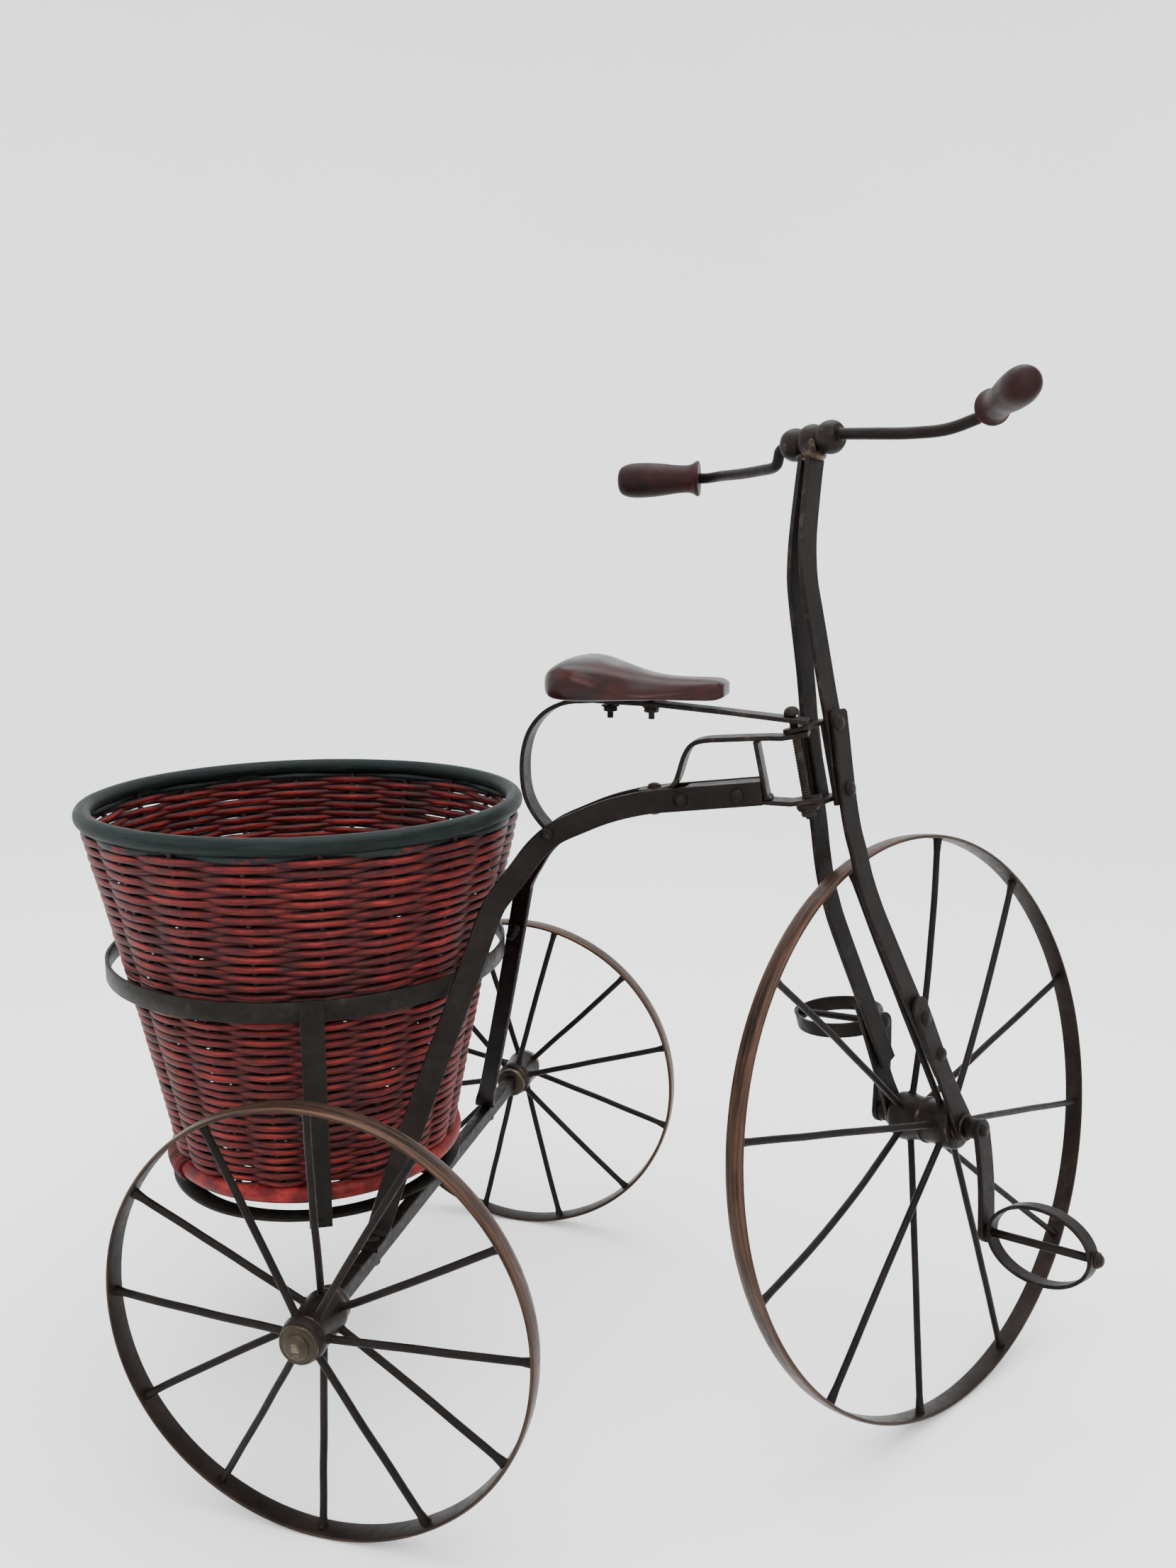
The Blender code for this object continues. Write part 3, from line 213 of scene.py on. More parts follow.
def timber(name, colours, gloss, along, shine):
    """Stained wood: grain drawn out along one axis under a worn varnish."""
    g = Graph(name)
    deep, middle, light = colours
    drawn = g.stretch(g.place, along)
    figure = g.noise(1.0, 5.0, 0.6, drawn, 0.8)
    pores = g.noise(5.0, 3.0, 0.7, drawn)
    base = g.ramp(figure, (0.3, deep), (0.52, middle), (0.74, light))
    base = g.mix(g.span(pores, 0.56, 0.74, 0.0, 0.55), base, deep)
    edge = g.times(g.mark("wear"), g.span(g.noise(90.0, 4.0), 0.42, 0.7))
    base = g.mix(g.times(edge, 0.55), base, light)
    matt = g.span(g.noise(60.0, 4.0), 0.3, 0.7, gloss, gloss + 0.16)
    normal = g.bump(pores, 0.00007, 0.5)
    normal = g.bump(g.noise(34.0, 2.0), 0.0005, 0.3, normal)
    normal = g.bump(g.noise(330.0, 4.0, 0.65), 0.00022, 0.45, normal)
    return g.done(base, matt, normal, Specular_IOR_Level=shine)


def wicker(name):
    """Painted cane: long streaks, each strand its own tone, with painted shade where the weave dips
    and where the rows meet.
    """
    g = Graph(name)
    tone, recess_shade = g.mark("tone"), g.mark("wear")
    streak = g.noise(1.0, 5.0, 0.62, g.course(55.0, 1.1, g.times(tone, 90.0)))
    fibre = g.noise(1.0, 3.0, 0.6, g.course(240.0, 5.0, tone))
    level = g.plus(g.times(streak, 0.8), g.times(tone, 0.2))
    # Painted shade: lighter where the cane stands proud, darker where it dips behind a stake.
    level = g.plus(level, g.times(g.sums("SUBTRACT", recess_shade, 0.5), 0.2))
    reds = tenths((60, 12, 14), (280, 24, 28), (820, 46, 48), (2150, 175, 135))
    base = g.ramp(level, *zip((0.32, 0.45, 0.58, 0.76), reds))
    base = g.mix(g.span(fibre, 0.56, 0.74, 0.0, 0.6), base, (0.012, 0.002, 0.0026))
    base = g.mix(g.span(g.noise(11.0, 5.0, 0.65), 0.54, 0.68, 0.0, 0.62), base,
        (0.017, 0.0048, 0.0062))
    # Painted crevice shade, near black, on the sides of each strand and rod where they meet their
    # neighbours.
    crevice_shade = g.sums("ABSOLUTE", g.sums("SINE", g.mark("around")))
    base = g.mix(g.span(crevice_shade, 0.55, 0.98, 0.0, 0.92), base, (0.003, 0.0008, 0.0009))
    green = g.span(g.plus(g.mark("paint"), g.times(g.noise(160.0, 3.0), 0.5)), 1.02, 1.12)
    base = g.mix(green, base, (0.0045, 0.0076, 0.007))
    normal = g.bump(fibre, 0.00022, 0.8)
    return g.done(base, g.span(streak, 0.3, 0.7, 0.38, 0.6), normal, Specular_IOR_Level=0.15)


def painted(name):
    """Brushed dark green paint, streaked round the rim, with fine lighter streaks."""
    g = Graph(name)
    brush = g.noise(1.0, 6.0, 0.66, g.course(26.0, 1.6), 0.3)
    fine = g.noise(1.0, 3.0, 0.6, g.course(120.0, 7.0, 2.0))
    greens = tenths((12, 23, 20), (32, 60, 53), (95, 150, 138))
    base = g.ramp(brush, *zip((0.3, 0.5, 0.7), greens))
    base = g.mix(g.span(fine, 0.6, 0.75, 0.0, 0.45), base, (0.019, 0.027, 0.0255))
    normal = g.bump(fine, 0.00015, 0.6)
    normal = g.bump(brush, 0.0005, 0.4, normal)
    return g.done(base, g.span(brush, 0.3, 0.7, 0.46, 0.64), normal, Specular_IOR_Level=0.1)


def plain_stage():
    g = Graph("pale_floor")
    base = g.ramp(g.noise(1.4, 3.0), (0.3, (0.86, 0.86, 0.85)), (0.7, (0.9, 0.9, 0.89)))
    return g.done(base, 0.7, g.bump(g.noise(60.0, 2.0), 0.0004, 0.15))


FINISHES = {
    "dark_iron": metal("aged_dark_iron", tenths(
        (33, 24, 21), (76, 55, 47), (172, 128, 106), (480, 320, 230)), 0.42, 0.62, 0.45),
    "rubbed_iron": metal("rubbed_rim_iron", tenths(
        (46, 34, 29), (125, 87, 71), (300, 200, 155), (900, 470, 295)),
        0.38, 0.56, 0.55, (0.42, 0.62), True),
    "brown_iron": metal("brown_hub_iron", tenths(
        (48, 33, 28), (112, 80, 67), (250, 190, 155), (1300, 940, 610)), 0.4, 0.6, 0.52),
    "dull_brass": metal("dull_brass", tenths(
        (115, 88, 62), (320, 250, 172), (660, 530, 380), (1900, 1480, 960)), 0.34, 0.54, 0.7),
    "olive_iron": metal("olive_painted_iron", tenths(
        (44, 37, 29), (88, 74, 58), (175, 147, 114), (340, 270, 205)),
        0.44, 0.62, 0.45, (0.56, 0.72)),
    "seat_wood": timber("seat_wood_stain", tenths(
        (52, 10, 10), (160, 21, 20), (360, 50, 44)), 0.27, (9.0, 70.0, 60.0), 0.17),
    "grip_wood": timber("grip_wood_stain", tenths(
        (38, 12, 13), (115, 22, 23), (320, 56, 54)), 0.42, (30.0, 34.0, 46.0), 0.11),
    "red_wicker": wicker("red_painted_cane"),
    "green_rim": painted("green_brushed_paint"),
}
for node_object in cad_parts.values():
    for place in node_object.material_slots:
        for key, finish in FINISHES.items():
            if place.material and place.material.name.startswith(key):
                place.material = finish


# ---- mesh tools
NEAR_TURN = 6.283      # a rod's around mark after one turn
RIVET_RADIUS, RIVET_HIGH = 0.0052, 0.003
# What each vertex tells its material: rubbed, and on the woven cane how proud it stands
# for painted shade, metres along, angle or share round (on the cane also where painted crevice
# shade falls), own tone, green paint.
MARKS = ("wear", "along", "around", "tone", "paint")


def smooth_path(points, steps=6):
    """Catmull-Rom curve through the given points."""
    points = [Vector(point) for point in points]
    ends = [2 * points[0] - points[1]] + points + [2 * points[-1] - points[-2]]
    path = []
    for a, b, c, d in zip(ends, ends[1:], ends[2:], ends[3:]):
        for step in range(steps):
            t = step / steps
            path.append(0.5 * (2 * b + (c - a) * t + (2 * a - 5 * b + 4 * c - d) * t * t
                + (3 * b - a - 3 * c + d) * t ** 3))
    return path + [points[-1]]


def tangents(path):
    steps = [(after - before).normalized() for before, after in zip(path, path[1:])]
    joined = [(first + second).normalized() for first, second in zip(steps, steps[1:])]
    return [steps[0]] + joined + [steps[-1]]


def distances(path):
    total, found = 0.0, [0.0]
    for before, after in zip(path, path[1:]):
        total += (after - before).length
        found.append(total)
    return found


def along(axis):
    """Rotation that lays local +Z along an axis."""
    return UP.rotation_difference(Vector(axis)).to_matrix().to_4x4()


def frame_y(location, flip=False):
    """Space at a place whose local +Z looks along +Y, or along -Y when flipped."""
    return Matrix.Translation(location) @ Matrix.Rotation(radians(90 if flip else -90), 4, "X")


def rounded(path, width, start=True, end=True):
    """Stations and widths that give a straight-ended path half-round ends."""
    radius = width / 2
    cuts = (0.006, 0.03, 0.08, 0.16, 0.28, 0.44, 0.64, 0.86, 1.0)
    path = [Vector(point) for point in path]
    first = (path[1] - path[0]).normalized()
    last = (path[-1] - path[-2]).normalized()
    profile = [2 * sqrt(radius ** 2 - (radius - cut * radius) ** 2) for cut in cuts]
    head = [path[0] + first * radius * (cut - 1) for cut in cuts] if start else [path[0]]
    tail = [path[-1] - last * radius * (cut - 1) for cut in reversed(cuts)] if end else [path[-1]]
    widths = (profile if start else [width]) + [width] * (len(path) - 2)
    widths += profile[::-1] if end else [width]
    return head + path[1:-1] + tail, widths


def circle(steps):
    return [2 * pi * step / steps for step in range(steps)]


def mirrored(profile):
    return [(r, -h) for r, h in reversed(profile)]


def worn(wear):
    """Marks of a vertex that only has a wear mark."""
    return wear, 0.0, 0.0, 0.5, 0.0


def wander(seed, share, size):
    """Smooth, repeatable unevenness."""
    return size * noise.noise(Vector((share * 5.0, seed * 7.31, seed * 1.7)))


class Shape:
    """Surfaces of one piece, gathered in one space, with marks for its material."""

    def __init__(self, space=STATION):
        self.space, self.verts, self.faces, self.marks = space, [], [], []

    def loft(self, rings, marks, loop=False, wrap=True):
        """Skins rings of equal length; marks gives each vertex its material marks."""
        base, size, count = len(self.verts), len(rings[0]), len(rings)
        for row, ring in enumerate(rings):
            for column, point in enumerate(ring):
                self.verts.append(self.space @ Vector(point))
                self.marks.append(marks(row, column))
        for row in range(count if loop else count - 1):
            a, b = base + row * size, base + (row + 1) % count * size
            for column in range(size if wrap else size - 1):
                after = (column + 1) % size
                self.faces.append((a + column, a + after, b + after, b + column))
        if not loop:
            self.faces.append(tuple(base + column for column in range(size)))
            last = base + (count - 1) * size
            self.faces.append(tuple(last + column for column in reversed(range(size))))
        return self

    def strap(self, path, facing, width=STRAP_WIDTH, thick=STRAP_THICK, widths=None, ease=0.0006,
            loop=False, tone=0.5):
        """Flat bar with eased corners bent along a path; facing is where its flat side looks."""
        path = [Vector(point) for point in path]
        if not isinstance(facing, list):
            facing = [facing] * len(path)
        widths = widths or [width] * len(path)
        if loop:
            ring = path[-1:] + path + path[:1]
            runs = tangents(ring)[1:-1]
        else:
            runs = tangents(path)
        inner, half = ease * 0.29, thick / 2
        corner = [(2.2 * ease, half, 0.2), (ease, half, 0.7), (inner, half - inner, 1.0),
            (0.0, half - ease, 0.8)]
        section = [(1, *spot) for spot in corner]
        section += [(1, inset, -v, wear) for inset, v, wear in reversed(corner)]
        section += [(-1, inset, -v, wear) for inset, v, wear in corner]
        section += [(-1, inset, v, wear) for inset, v, wear in reversed(corner)]
        rings = []
        for point, face, run, size in zip(path, facing, runs, widths):
            across = Vector(face).cross(run).normalized()
            out = run.cross(across).normalized()
            rings.append([point + across * side * max(size / 2 - inset, 0.00002) + out * v
                for side, inset, v, _ in section])
        far = distances(path)
        return self.loft(rings, lambda row, column: (section[column][3], far[row],
            section[column][2] / thick, tone, 0.0), loop)

    def rod(self, path, radius, sides=14, chamfer=0.0004, sizes=None, wear=0.15):
        """Round rod along a path, its ends a little chamfered."""
        path = [Vector(point) for point in path]
        sizes = list(sizes or [radius] * len(path))
        if chamfer:
            first, last = (path[1] - path[0]).normalized(), (path[-1] - path[-2]).normalized()
            path = [path[0], path[0] + first * chamfer] + path[1:-1] + [path[-1] - last * chamfer,
                path[-1]]
            sizes = [sizes[0] - chamfer, sizes[0]] + sizes[1:-1] + [sizes[-1], sizes[-1] - chamfer]
        far, runs = distances(path), tangents(path)
        side = runs[0].orthogonal().normalized()
        rings = []
        for index, (point, run, size) in enumerate(zip(path, runs, sizes)):
            if index:
                side = runs[index - 1].rotation_difference(run) @ side
            other = run.cross(side)
            rings.append([point + (side * cos(turn) + other * sin(turn)) * size
                for turn in circle(sides)])
        return self.loft(rings, lambda row, column: (wear, far[row], NEAR_TURN * column / sides,
            0.5, 0.0))

    def lathe(self, profile, matrix=None, steps=48, closed=False, wear=(), uneven=0.0, seed=1.0):
        """Turned surface about local Z; wear lists the profile's rubbed places."""
        matrix = matrix or Matrix.Identity(4)
        rings = []
        for turn in circle(steps):
            c, s = cos(turn), sin(turn)
            shift = uneven * noise.noise(Vector((2.6 * c, 2.6 * s, seed)))
            rings.append(
                [matrix @ Vector(((r + shift * (r > 0.001)) * c, (r + shift * (r > 0.001)) * s, h))
                for r, h in profile])
        reach = max(r for r, h in profile)
        count = len(profile)
        return self.loft(rings, lambda row, column: (wear[column] if wear else 0.3,
            reach * abs(2 * pi * row / steps - pi), 2 * pi * column / count, 0.5, 0.0), loop=True,
            wrap=closed)

    def dome(self, middle, axis, radius=RIVET_RADIUS, high=RIVET_HIGH):
        """Rivet head standing on a surface, with a slight flat on its crown."""
        profile = [(0.0, high), (radius * 0.2, high * 0.995)]
        for share in (0.4, 0.58, 0.74, 0.87, 0.96):
            profile.append((radius * share, high * sqrt(1 - share ** 2.3)))
        profile += [(radius, high * 0.1), (radius * 0.97, -0.0008), (0.0, -0.0008)]
        wear = (0.9, 0.9, 0.7, 0.5, 0.4, 0.3, 0.3, 0.1, 0.0, 0.0)
        return self.lathe(profile, Matrix.Translation(middle) @ along(axis), 24, wear=wear)

    def rivet(self, middle, axis, grip):
        axis = Vector(axis).normalized()
        for side in (1, -1):
            self.dome(Vector(middle) + axis * side * grip / 2, axis * side)
        return self

    def blob(self, middle, size, seed, wear=0.5):
        """Lumpy bead of weld."""
        bm = bmesh.new()
        bmesh.ops.create_icosphere(bm, subdivisions=3, radius=1.0)
        base = len(self.verts)
        bm.verts.ensure_lookup_table()
        for vert in bm.verts:
            lump = 1.0 + 0.22 * noise.noise(vert.co * 1.9 + Vector((seed, 0, 0)))
            lump += 0.08 * noise.noise(vert.co * 5.0 + Vector((0, seed, 0)))
            spot = Vector((vert.co.x * size[0], vert.co.y * size[1], vert.co.z * size[2])) * lump
            self.verts.append(self.space @ (Vector(middle) + spot))
            self.marks.append(worn(wear))
        for face in bm.faces:
            self.faces.append(tuple(base + vert.index for vert in face.verts))
        bm.free()
        return self

    def thread(self, start, end, radius, pitch, depth=0.00045, sides=24):
        """Threaded rod between two places."""
        start, end = Vector(start), Vector(end)
        run = (end - start).normalized()
        long = (end - start).length
        side = run.orthogonal().normalized()
        other = run.cross(side)
        rows = max(4, int(long / pitch * 6))
        rings = []
        for row in range(rows + 1):
            ring, far = [], long * row / rows
            for step, turn in enumerate(circle(sides)):
                wave = abs(((far / pitch - step / sides) % 1.0) * 2 - 1)
                size = radius - depth * (0.15 + 0.85 * wave)
                if row in (0, rows):
                    size = radius - depth * 1.4
                ring.append(start + run * far + (side * cos(turn) + other * sin(turn)) * size)
            rings.append(ring)
        return self.loft(rings, lambda row, column: worn(0.9))

    def nut(self, matrix, radius, low, high, washer=None):
        """Chamfered hexagonal nut, with a washer under it if asked."""
        if washer:
            self.lathe([(0.0, washer[2]), (washer[0] - 0.0003, washer[2]),
                (washer[0], (washer[1] + washer[2]) / 2), (washer[0] - 0.0003, washer[1]),
                (0.0, washer[1])], matrix, 32, wear=(0, 1, 1, 1, 0))
        cut = (high - low) * 0.16
        flat = radius * 0.866
        outline = [(turn, flat / cos((turn + pi / 6) % (pi / 3) - pi / 6)) for turn in circle(36)]
        rings = []
        for height, most in ((low, flat * 0.97), (low + cut, radius), (high - cut, radius),
                (high, flat * 0.97)):
            rings.append(
                [matrix @ Vector((min(reach, most) * cos(turn), min(reach, most) * sin(turn),
                height)) for turn, reach in outline])
        return self.loft(rings, lambda row, column: worn(0.8 if row in (0, 3) else 0.3))


def show(name, content):
    item = bpy.data.objects.new(name, content)
    bpy.context.scene.collection.objects.link(item)
    return item


def piece(name, shape, slot, body, *nodes):
    """Object made of a shape, riding a body, in place of the CAD nodes named."""
    mesh = bpy.data.meshes.new(name)
    mesh.from_pydata(shape.verts, [], shape.faces)
    for index, key in enumerate(MARKS):
        layer = mesh.attributes.new(key, "FLOAT", "POINT")
        layer.data.foreach_set("value", [mark[index] for mark in shape.marks])
    bm = bmesh.new()
    bm.from_mesh(mesh)
    bmesh.ops.remove_doubles(bm, verts=bm.verts, dist=0.000003)
    bmesh.ops.recalc_face_normals(bm, faces=bm.faces[:])
    bm.to_mesh(mesh)
    bm.free()
    mesh.shade_smooth()
    mesh.set_sharp_from_angle(angle=radians(50))
    mesh.materials.append(FINISHES[slot])
    item = show(name, mesh)
    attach(item, body)
    if nodes:
        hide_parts(*nodes)
    return item


def iron(name, shape, node, body="frame"):
    """Piece of dark iron."""
    piece(name, shape, "dark_iron", body, node)


# ---- wheels
def tyre(name, radius, space, body, node, steps, seed):
    """Flat iron tyre, crowned on its tread, rubbed to bronze where it runs and is handled."""
    inner, half = radius - RIM_THICK, RIM_HALF
    profile, wear = [], []
    for r, h, rub in ((inner, 0.86 * half, 0.15), (inner + 0.0003, 0.97 * half, 0.5),
            (inner + 0.0008, half, 0.7), (radius - 0.0016, half, 0.8),
            (radius - 0.0009, 0.95 * half, 1.0), (radius - 0.0004, 0.8 * half, 1.0),
            (radius - 0.0001, 0.52 * half, 0.9), (radius, 0.2 * half, 0.8)):
        profile.append((r, h))
        wear.append(rub)
    profile += mirrored(profile)
    wear += wear[::-1]
    shape = Shape(space).lathe(profile, None, steps, True, wear, 0.0003, seed)
    seam = Vector((inner * cos(seed), inner * sin(seed), 0.0))
    shape.blob(seam, (0.0014, 0.0022, 0.0062), seed, 0.7)
    piece(name, shape, "rubbed_iron", body, node)


def spoked_hub(name, barrel, wear, radius, seats, bore, phase, bows, space, body, node):
    """Turned barrel with twelve rods let into its two ends by turns."""
    shape = Shape(space).lathe(barrel, None, 64, True, wear, 0.00012, phase)
    piece(name + "_barrel", shape, "brown_iron", body, node)
    spokes = Shape(space)
    reach = radius - RIM_THICK + 0.0001
    for index, turn in enumerate(circle(SPOKES)):
        turn += phase
        outward = Vector((cos(turn), sin(turn), 0.0))
        aside = Vector((-sin(turn), cos(turn), 0.0))
        height = seats if index % 2 else -seats
        root = bore + 0.0035
        bow = bows.get(index, 0.0009 * sin(2.3 * index + phase))
        path, sizes = [], []
        for step in range(19):
            share = step / 18
            spot = outward * (root + (reach - root) * share) + UP * height * (1 - share)
            sway = bow * sin(pi * share) + wander(index + phase, share, 0.0004)
            path.append(spot + aside * sway)
            flare = max(0.0, 1 - (1 - share) * (reach - root) / 0.0045)
            sizes.append(SPOKE_RADIUS + 0.0009 * flare)
        spokes.rod(path, SPOKE_RADIUS, 12, 0.0, sizes, 0.25)
        set_in = HUB_RADIUS if radius < 0.2 else FRONT_HUB_RADIUS
        share = (set_in * 0.95 - root) / (reach - root)
        collar = outward * set_in * 0.95 + UP * height * (1 - share)
        spokes.blob(collar, (0.0031, 0.0031, 0.0029), index + phase, 0.3)
        spokes.blob(outward * (reach - 0.0006), (0.003, 0.003, 0.0036), index - phase, 0.5)
    piece(name + "_spokes", spokes, "dark_iron", body, node)


def rear_wheel(hand, side, phase):
    centre = Vector((0.0, side * TRACK_HALF, CROSSBAR_Z))
    space = STATION @ frame_y(centre, flip=side < 0)
    body = "rear_wheel_" + hand
    tyre("rim_" + hand, REAR_RADIUS, space, body, "rear_rim_" + hand, 168, phase)
    bore, half, outer = AXLE_RADIUS + GAP, HUB_HALF, HUB_RADIUS
    barrel = [(bore, half)] + [(outer * share, h) for share, h in ((0.8, half),
        (0.88, half - 0.0004), (0.93, half - 0.0016), (0.965, half - 0.004), (1.0, half - 0.006),
        (1.0, half - 0.0074), (0.97, half - 0.0086), (0.96, 0.0), (0.97, -half + 0.0086),
        (1.0, -half + 0.007), (0.97, -half + 0.0035), (0.9, -half + 0.0006), (0.8, -half))] + [
        (bore, -half)]
    wear = (0, 0.2, 0.9, 0.6, 0.3, 1.0, 0.8, 0.2, 0.1, 0.2, 0.8, 0.3, 0.8, 0.3, 0)
    spoked_hub("hub_" + hand, barrel, wear, REAR_RADIUS, -side * half * 0.55, bore, phase, {},
        space, body, "rear_hub_" + hand)
    low = half + GAP
    cap = tenths((0, 50), (72, 50), (80, 46), (84, 36), (86, 30), (97, 29), (104, 26), (108, 20),
        (116, 19), (126, 23), (132, 19), (135, 10), (134, 0), (0, 0))
    wear = (0.6, 0.7, 1, 0.5, 0.1, 0.4, 0.9, 0.2, 0.2, 1, 1, 0.5, 0, 0)
    shape = Shape(space).lathe([(r, low + h) for r, h in cap], None, 64, False, wear, 0.00015, 3.0)
    # square end of the axle, standing out of the cap
    stub = [(-1, -1), (1, -1), (1, 1), (-1, 1)]
    rings = []
    for size, height in ((0.0031, 0.0044), (0.0031, 0.0058), (0.0027, 0.0062)):
        rings.append([(x * size * (1.0 + 0.12 * y), y * size, low + height - 0.001)
            for x, y in stub])
    shape.loft(rings, lambda row, column: worn(1.0))
    piece("cap_" + hand, shape, "dull_brass", body, "rear_cap_" + hand)


def front_wheel():
    space = AXLE @ frame_y((0, 0, 0))
    tyre("front_tyre", FRONT_RADIUS, space, "front_wheel", "front_rim", 220, 0.6)
    half, outer, bore = FRONT_HUB_HALF, FRONT_HUB_RADIUS, AXLE_RADIUS + GAP
    side = [(bore, half)] + [(outer * share, h) for share, h in ((0.82, half),
        (0.92, half - 0.0005), (0.97, half - 0.0022), (1.0, half * 0.8), (1.0, half * 0.66),
        (0.965, half * 0.52), (0.91, half * 0.36), (0.895, half * 0.16), (0.9, 0.0018),
        (0.95, 0.0011))]
    barrel = side + [(outer * 0.955, 0.0)] + mirrored(side)
    rub = [0, 0.3, 1.0, 0.7, 0.4, 0.3, 0.3, 0.15, 0.1, 0.3, 0.9]
    spoked_hub("front_hub", barrel, rub + [1.0] + rub[::-1], FRONT_RADIUS, -half * 0.62, bore,
        radians(-82.7), {0: 0.005, 1: 0.0034, 8: -0.0062, 10: 0.0014}, space, "front_wheel",
        "front_hub")
    reach = CRANK_Y + 0.004
    shape = Shape(AXLE).rod([(0, -reach, 0), (0, reach, 0)], AXLE_RADIUS, 24)
    for side in (-1, 1):
        shape.dome((0, side * (reach - 0.0003), 0), (0, side, 0), AXLE_RADIUS * 0.98, 0.0011)
    piece("axle_rod", shape, "dark_iron", "front_wheel", "front_axle_rod")
    washers = Shape(AXLE)
    for side in (-1, 1):
        for low, thick, size in ((0.0268, 0.001, 0.0118), (0.0321, 0.0012, 0.01)):
            ring = [(AXLE_RADIUS + 0.0002, low), (size - 0.0002, low), (size, low + thick / 2),
                (size - 0.0002, low + thick), (AXLE_RADIUS + 0.0002, low + thick)]
            if side < 0:
                ring = [(r, -h) for r, h in ring]
            washers.lathe(ring, frame_y((0, 0, 0)), 40, True, (0.4, 1, 1, 1, 0.4))
    piece("axle_washers", washers, "brown_iron", "front_wheel")


def crank(hand, side):
    middle = side * CRANK_Y
    length, turn = CRANKS[hand]
    foot = Vector((0.0, middle, 0.0))
    run = Vector((sin(turn), 0.0, cos(turn)))
    aside = Vector((cos(turn), 0.0, -sin(turn)))
    tip = foot + run * length
    bow = -0.0028 if side < 0 else 0.001
    line = [foot + run * length * share + aside * bow * sin(pi * share) for share in (0.0, 0.25,
        0.5, 0.75, 1.0)]
    stations, widths = rounded(smooth_path(line, 4), CRANK_WIDTH)
    shape = Shape(AXLE).strap(stations, (0, side, 0), CRANK_WIDTH, CRANK_THICK, widths)
    shape.rod([(0, side * 0.034, 0), (0, middle, 0)], 0.0074, 28)
    end = side * (PEDAL_MID_Y + PEDAL_LONG + 0.003)
    shape.rod([tip, (tip.x, end, tip.z)], ROD_RADIUS, 16)
    shape.dome(tip - Vector((0, side * 0.0021, 0)), (0, -side, 0), 0.005, 0.0018)
    shape.blob(tip + Vector((0, side * 0.0026, 0)), (0.0046, 0.0014, 0.0046), turn, 0.4)
    piece("crank_arm_" + hand, shape, "dark_iron", "front_wheel", "crank_" + hand)
    return tip


def pedal(hand, side, tip):
    swing = AXLE @ Matrix.Translation((tip.x, side * PEDAL_MID_Y, tip.z))
    swing = swing @ Matrix.Rotation(PEDAL_LEANS[hand], 4, "Y")
    path = [Vector((PEDAL_SHORT * cos(turn), PEDAL_LONG * sin(turn), 0.0)) for turn in circle(84)]
    shape = Shape(swing).strap(path, [Vector((p.x / PEDAL_SHORT ** 2, p.y / PEDAL_LONG ** 2, 0))
        for p in path], PEDAL_BAND, PEDAL_THICK, loop=True)
    shape.blob((PEDAL_SHORT * 0.06, -side * (PEDAL_LONG + 0.001), 0.0), (0.0036, 0.0014, 0.005),
        4.0 + side, 0.5)
    body = "pedal_" + hand
    piece("stirrup_" + hand, shape, "dark_iron", body, "pedal_ring_" + hand)
    outer = side * (PEDAL_LONG + PEDAL_THICK / 2 + GAP)
    shape = Shape(swing)
    matrix = frame_y((0, outer, 0), side < 0)
    shape.nut(matrix, 0.0056, 0.0004, 0.0036, washer=(0.0062, 0.0, 0.0008))
    shape.dome(matrix @ Vector((0, 0, 0.0034)), (0, side, 0), 0.0044, 0.0026)
    piece("stirrup_nut_" + hand, shape, "brown_iron", body, "pedal_nut_" + hand)


# ---- rear frame
def crossbar():
    end = TRACK_HALF - HUB_HALF - 0.0066
    path = [(0, -end + 2 * end * step / 24, CROSSBAR_Z) for step in range(25)]
    shape = Shape().strap(path, (1, 0, 0), CROSSBAR_HIGH, CROSSBAR_DEEP, ease=0.0009)
    reach = TRACK_HALF + HUB_HALF - 0.0005
    shape.rod([(0, -reach, CROSSBAR_Z), (0, reach, CROSSBAR_Z)], AXLE_RADIUS, 24)
    iron("crossbar", shape, "rear_crossbar")
    for name, side in SIDES:
        low, high, bore = end + GAP, end + 0.0063, AXLE_RADIUS + GAP
        ring = [(bore, high), (0.012, high), (0.0127, high - 0.0006), (0.0133, high - 0.0022),
            (0.0134, (low + high) / 2), (0.0133, low + 0.0022), (0.0127, low + 0.0006),
            (0.012, low), (bore, low)]
        shape = Shape().lathe(ring, frame_y((0, 0, CROSSBAR_Z), side < 0), 56, True,
            (0, 0.5, 1, 0.6, 0.4, 0.6, 1, 0.5, 0))
        piece("collar_" + name, shape, "dull_brass", "frame", "axle_collar_" + name)


def spine_line(x):
    """Height of the spine's straight front end."""
    return 0.4658 + (x - SPINE_RIVETS[0]) * 0.128


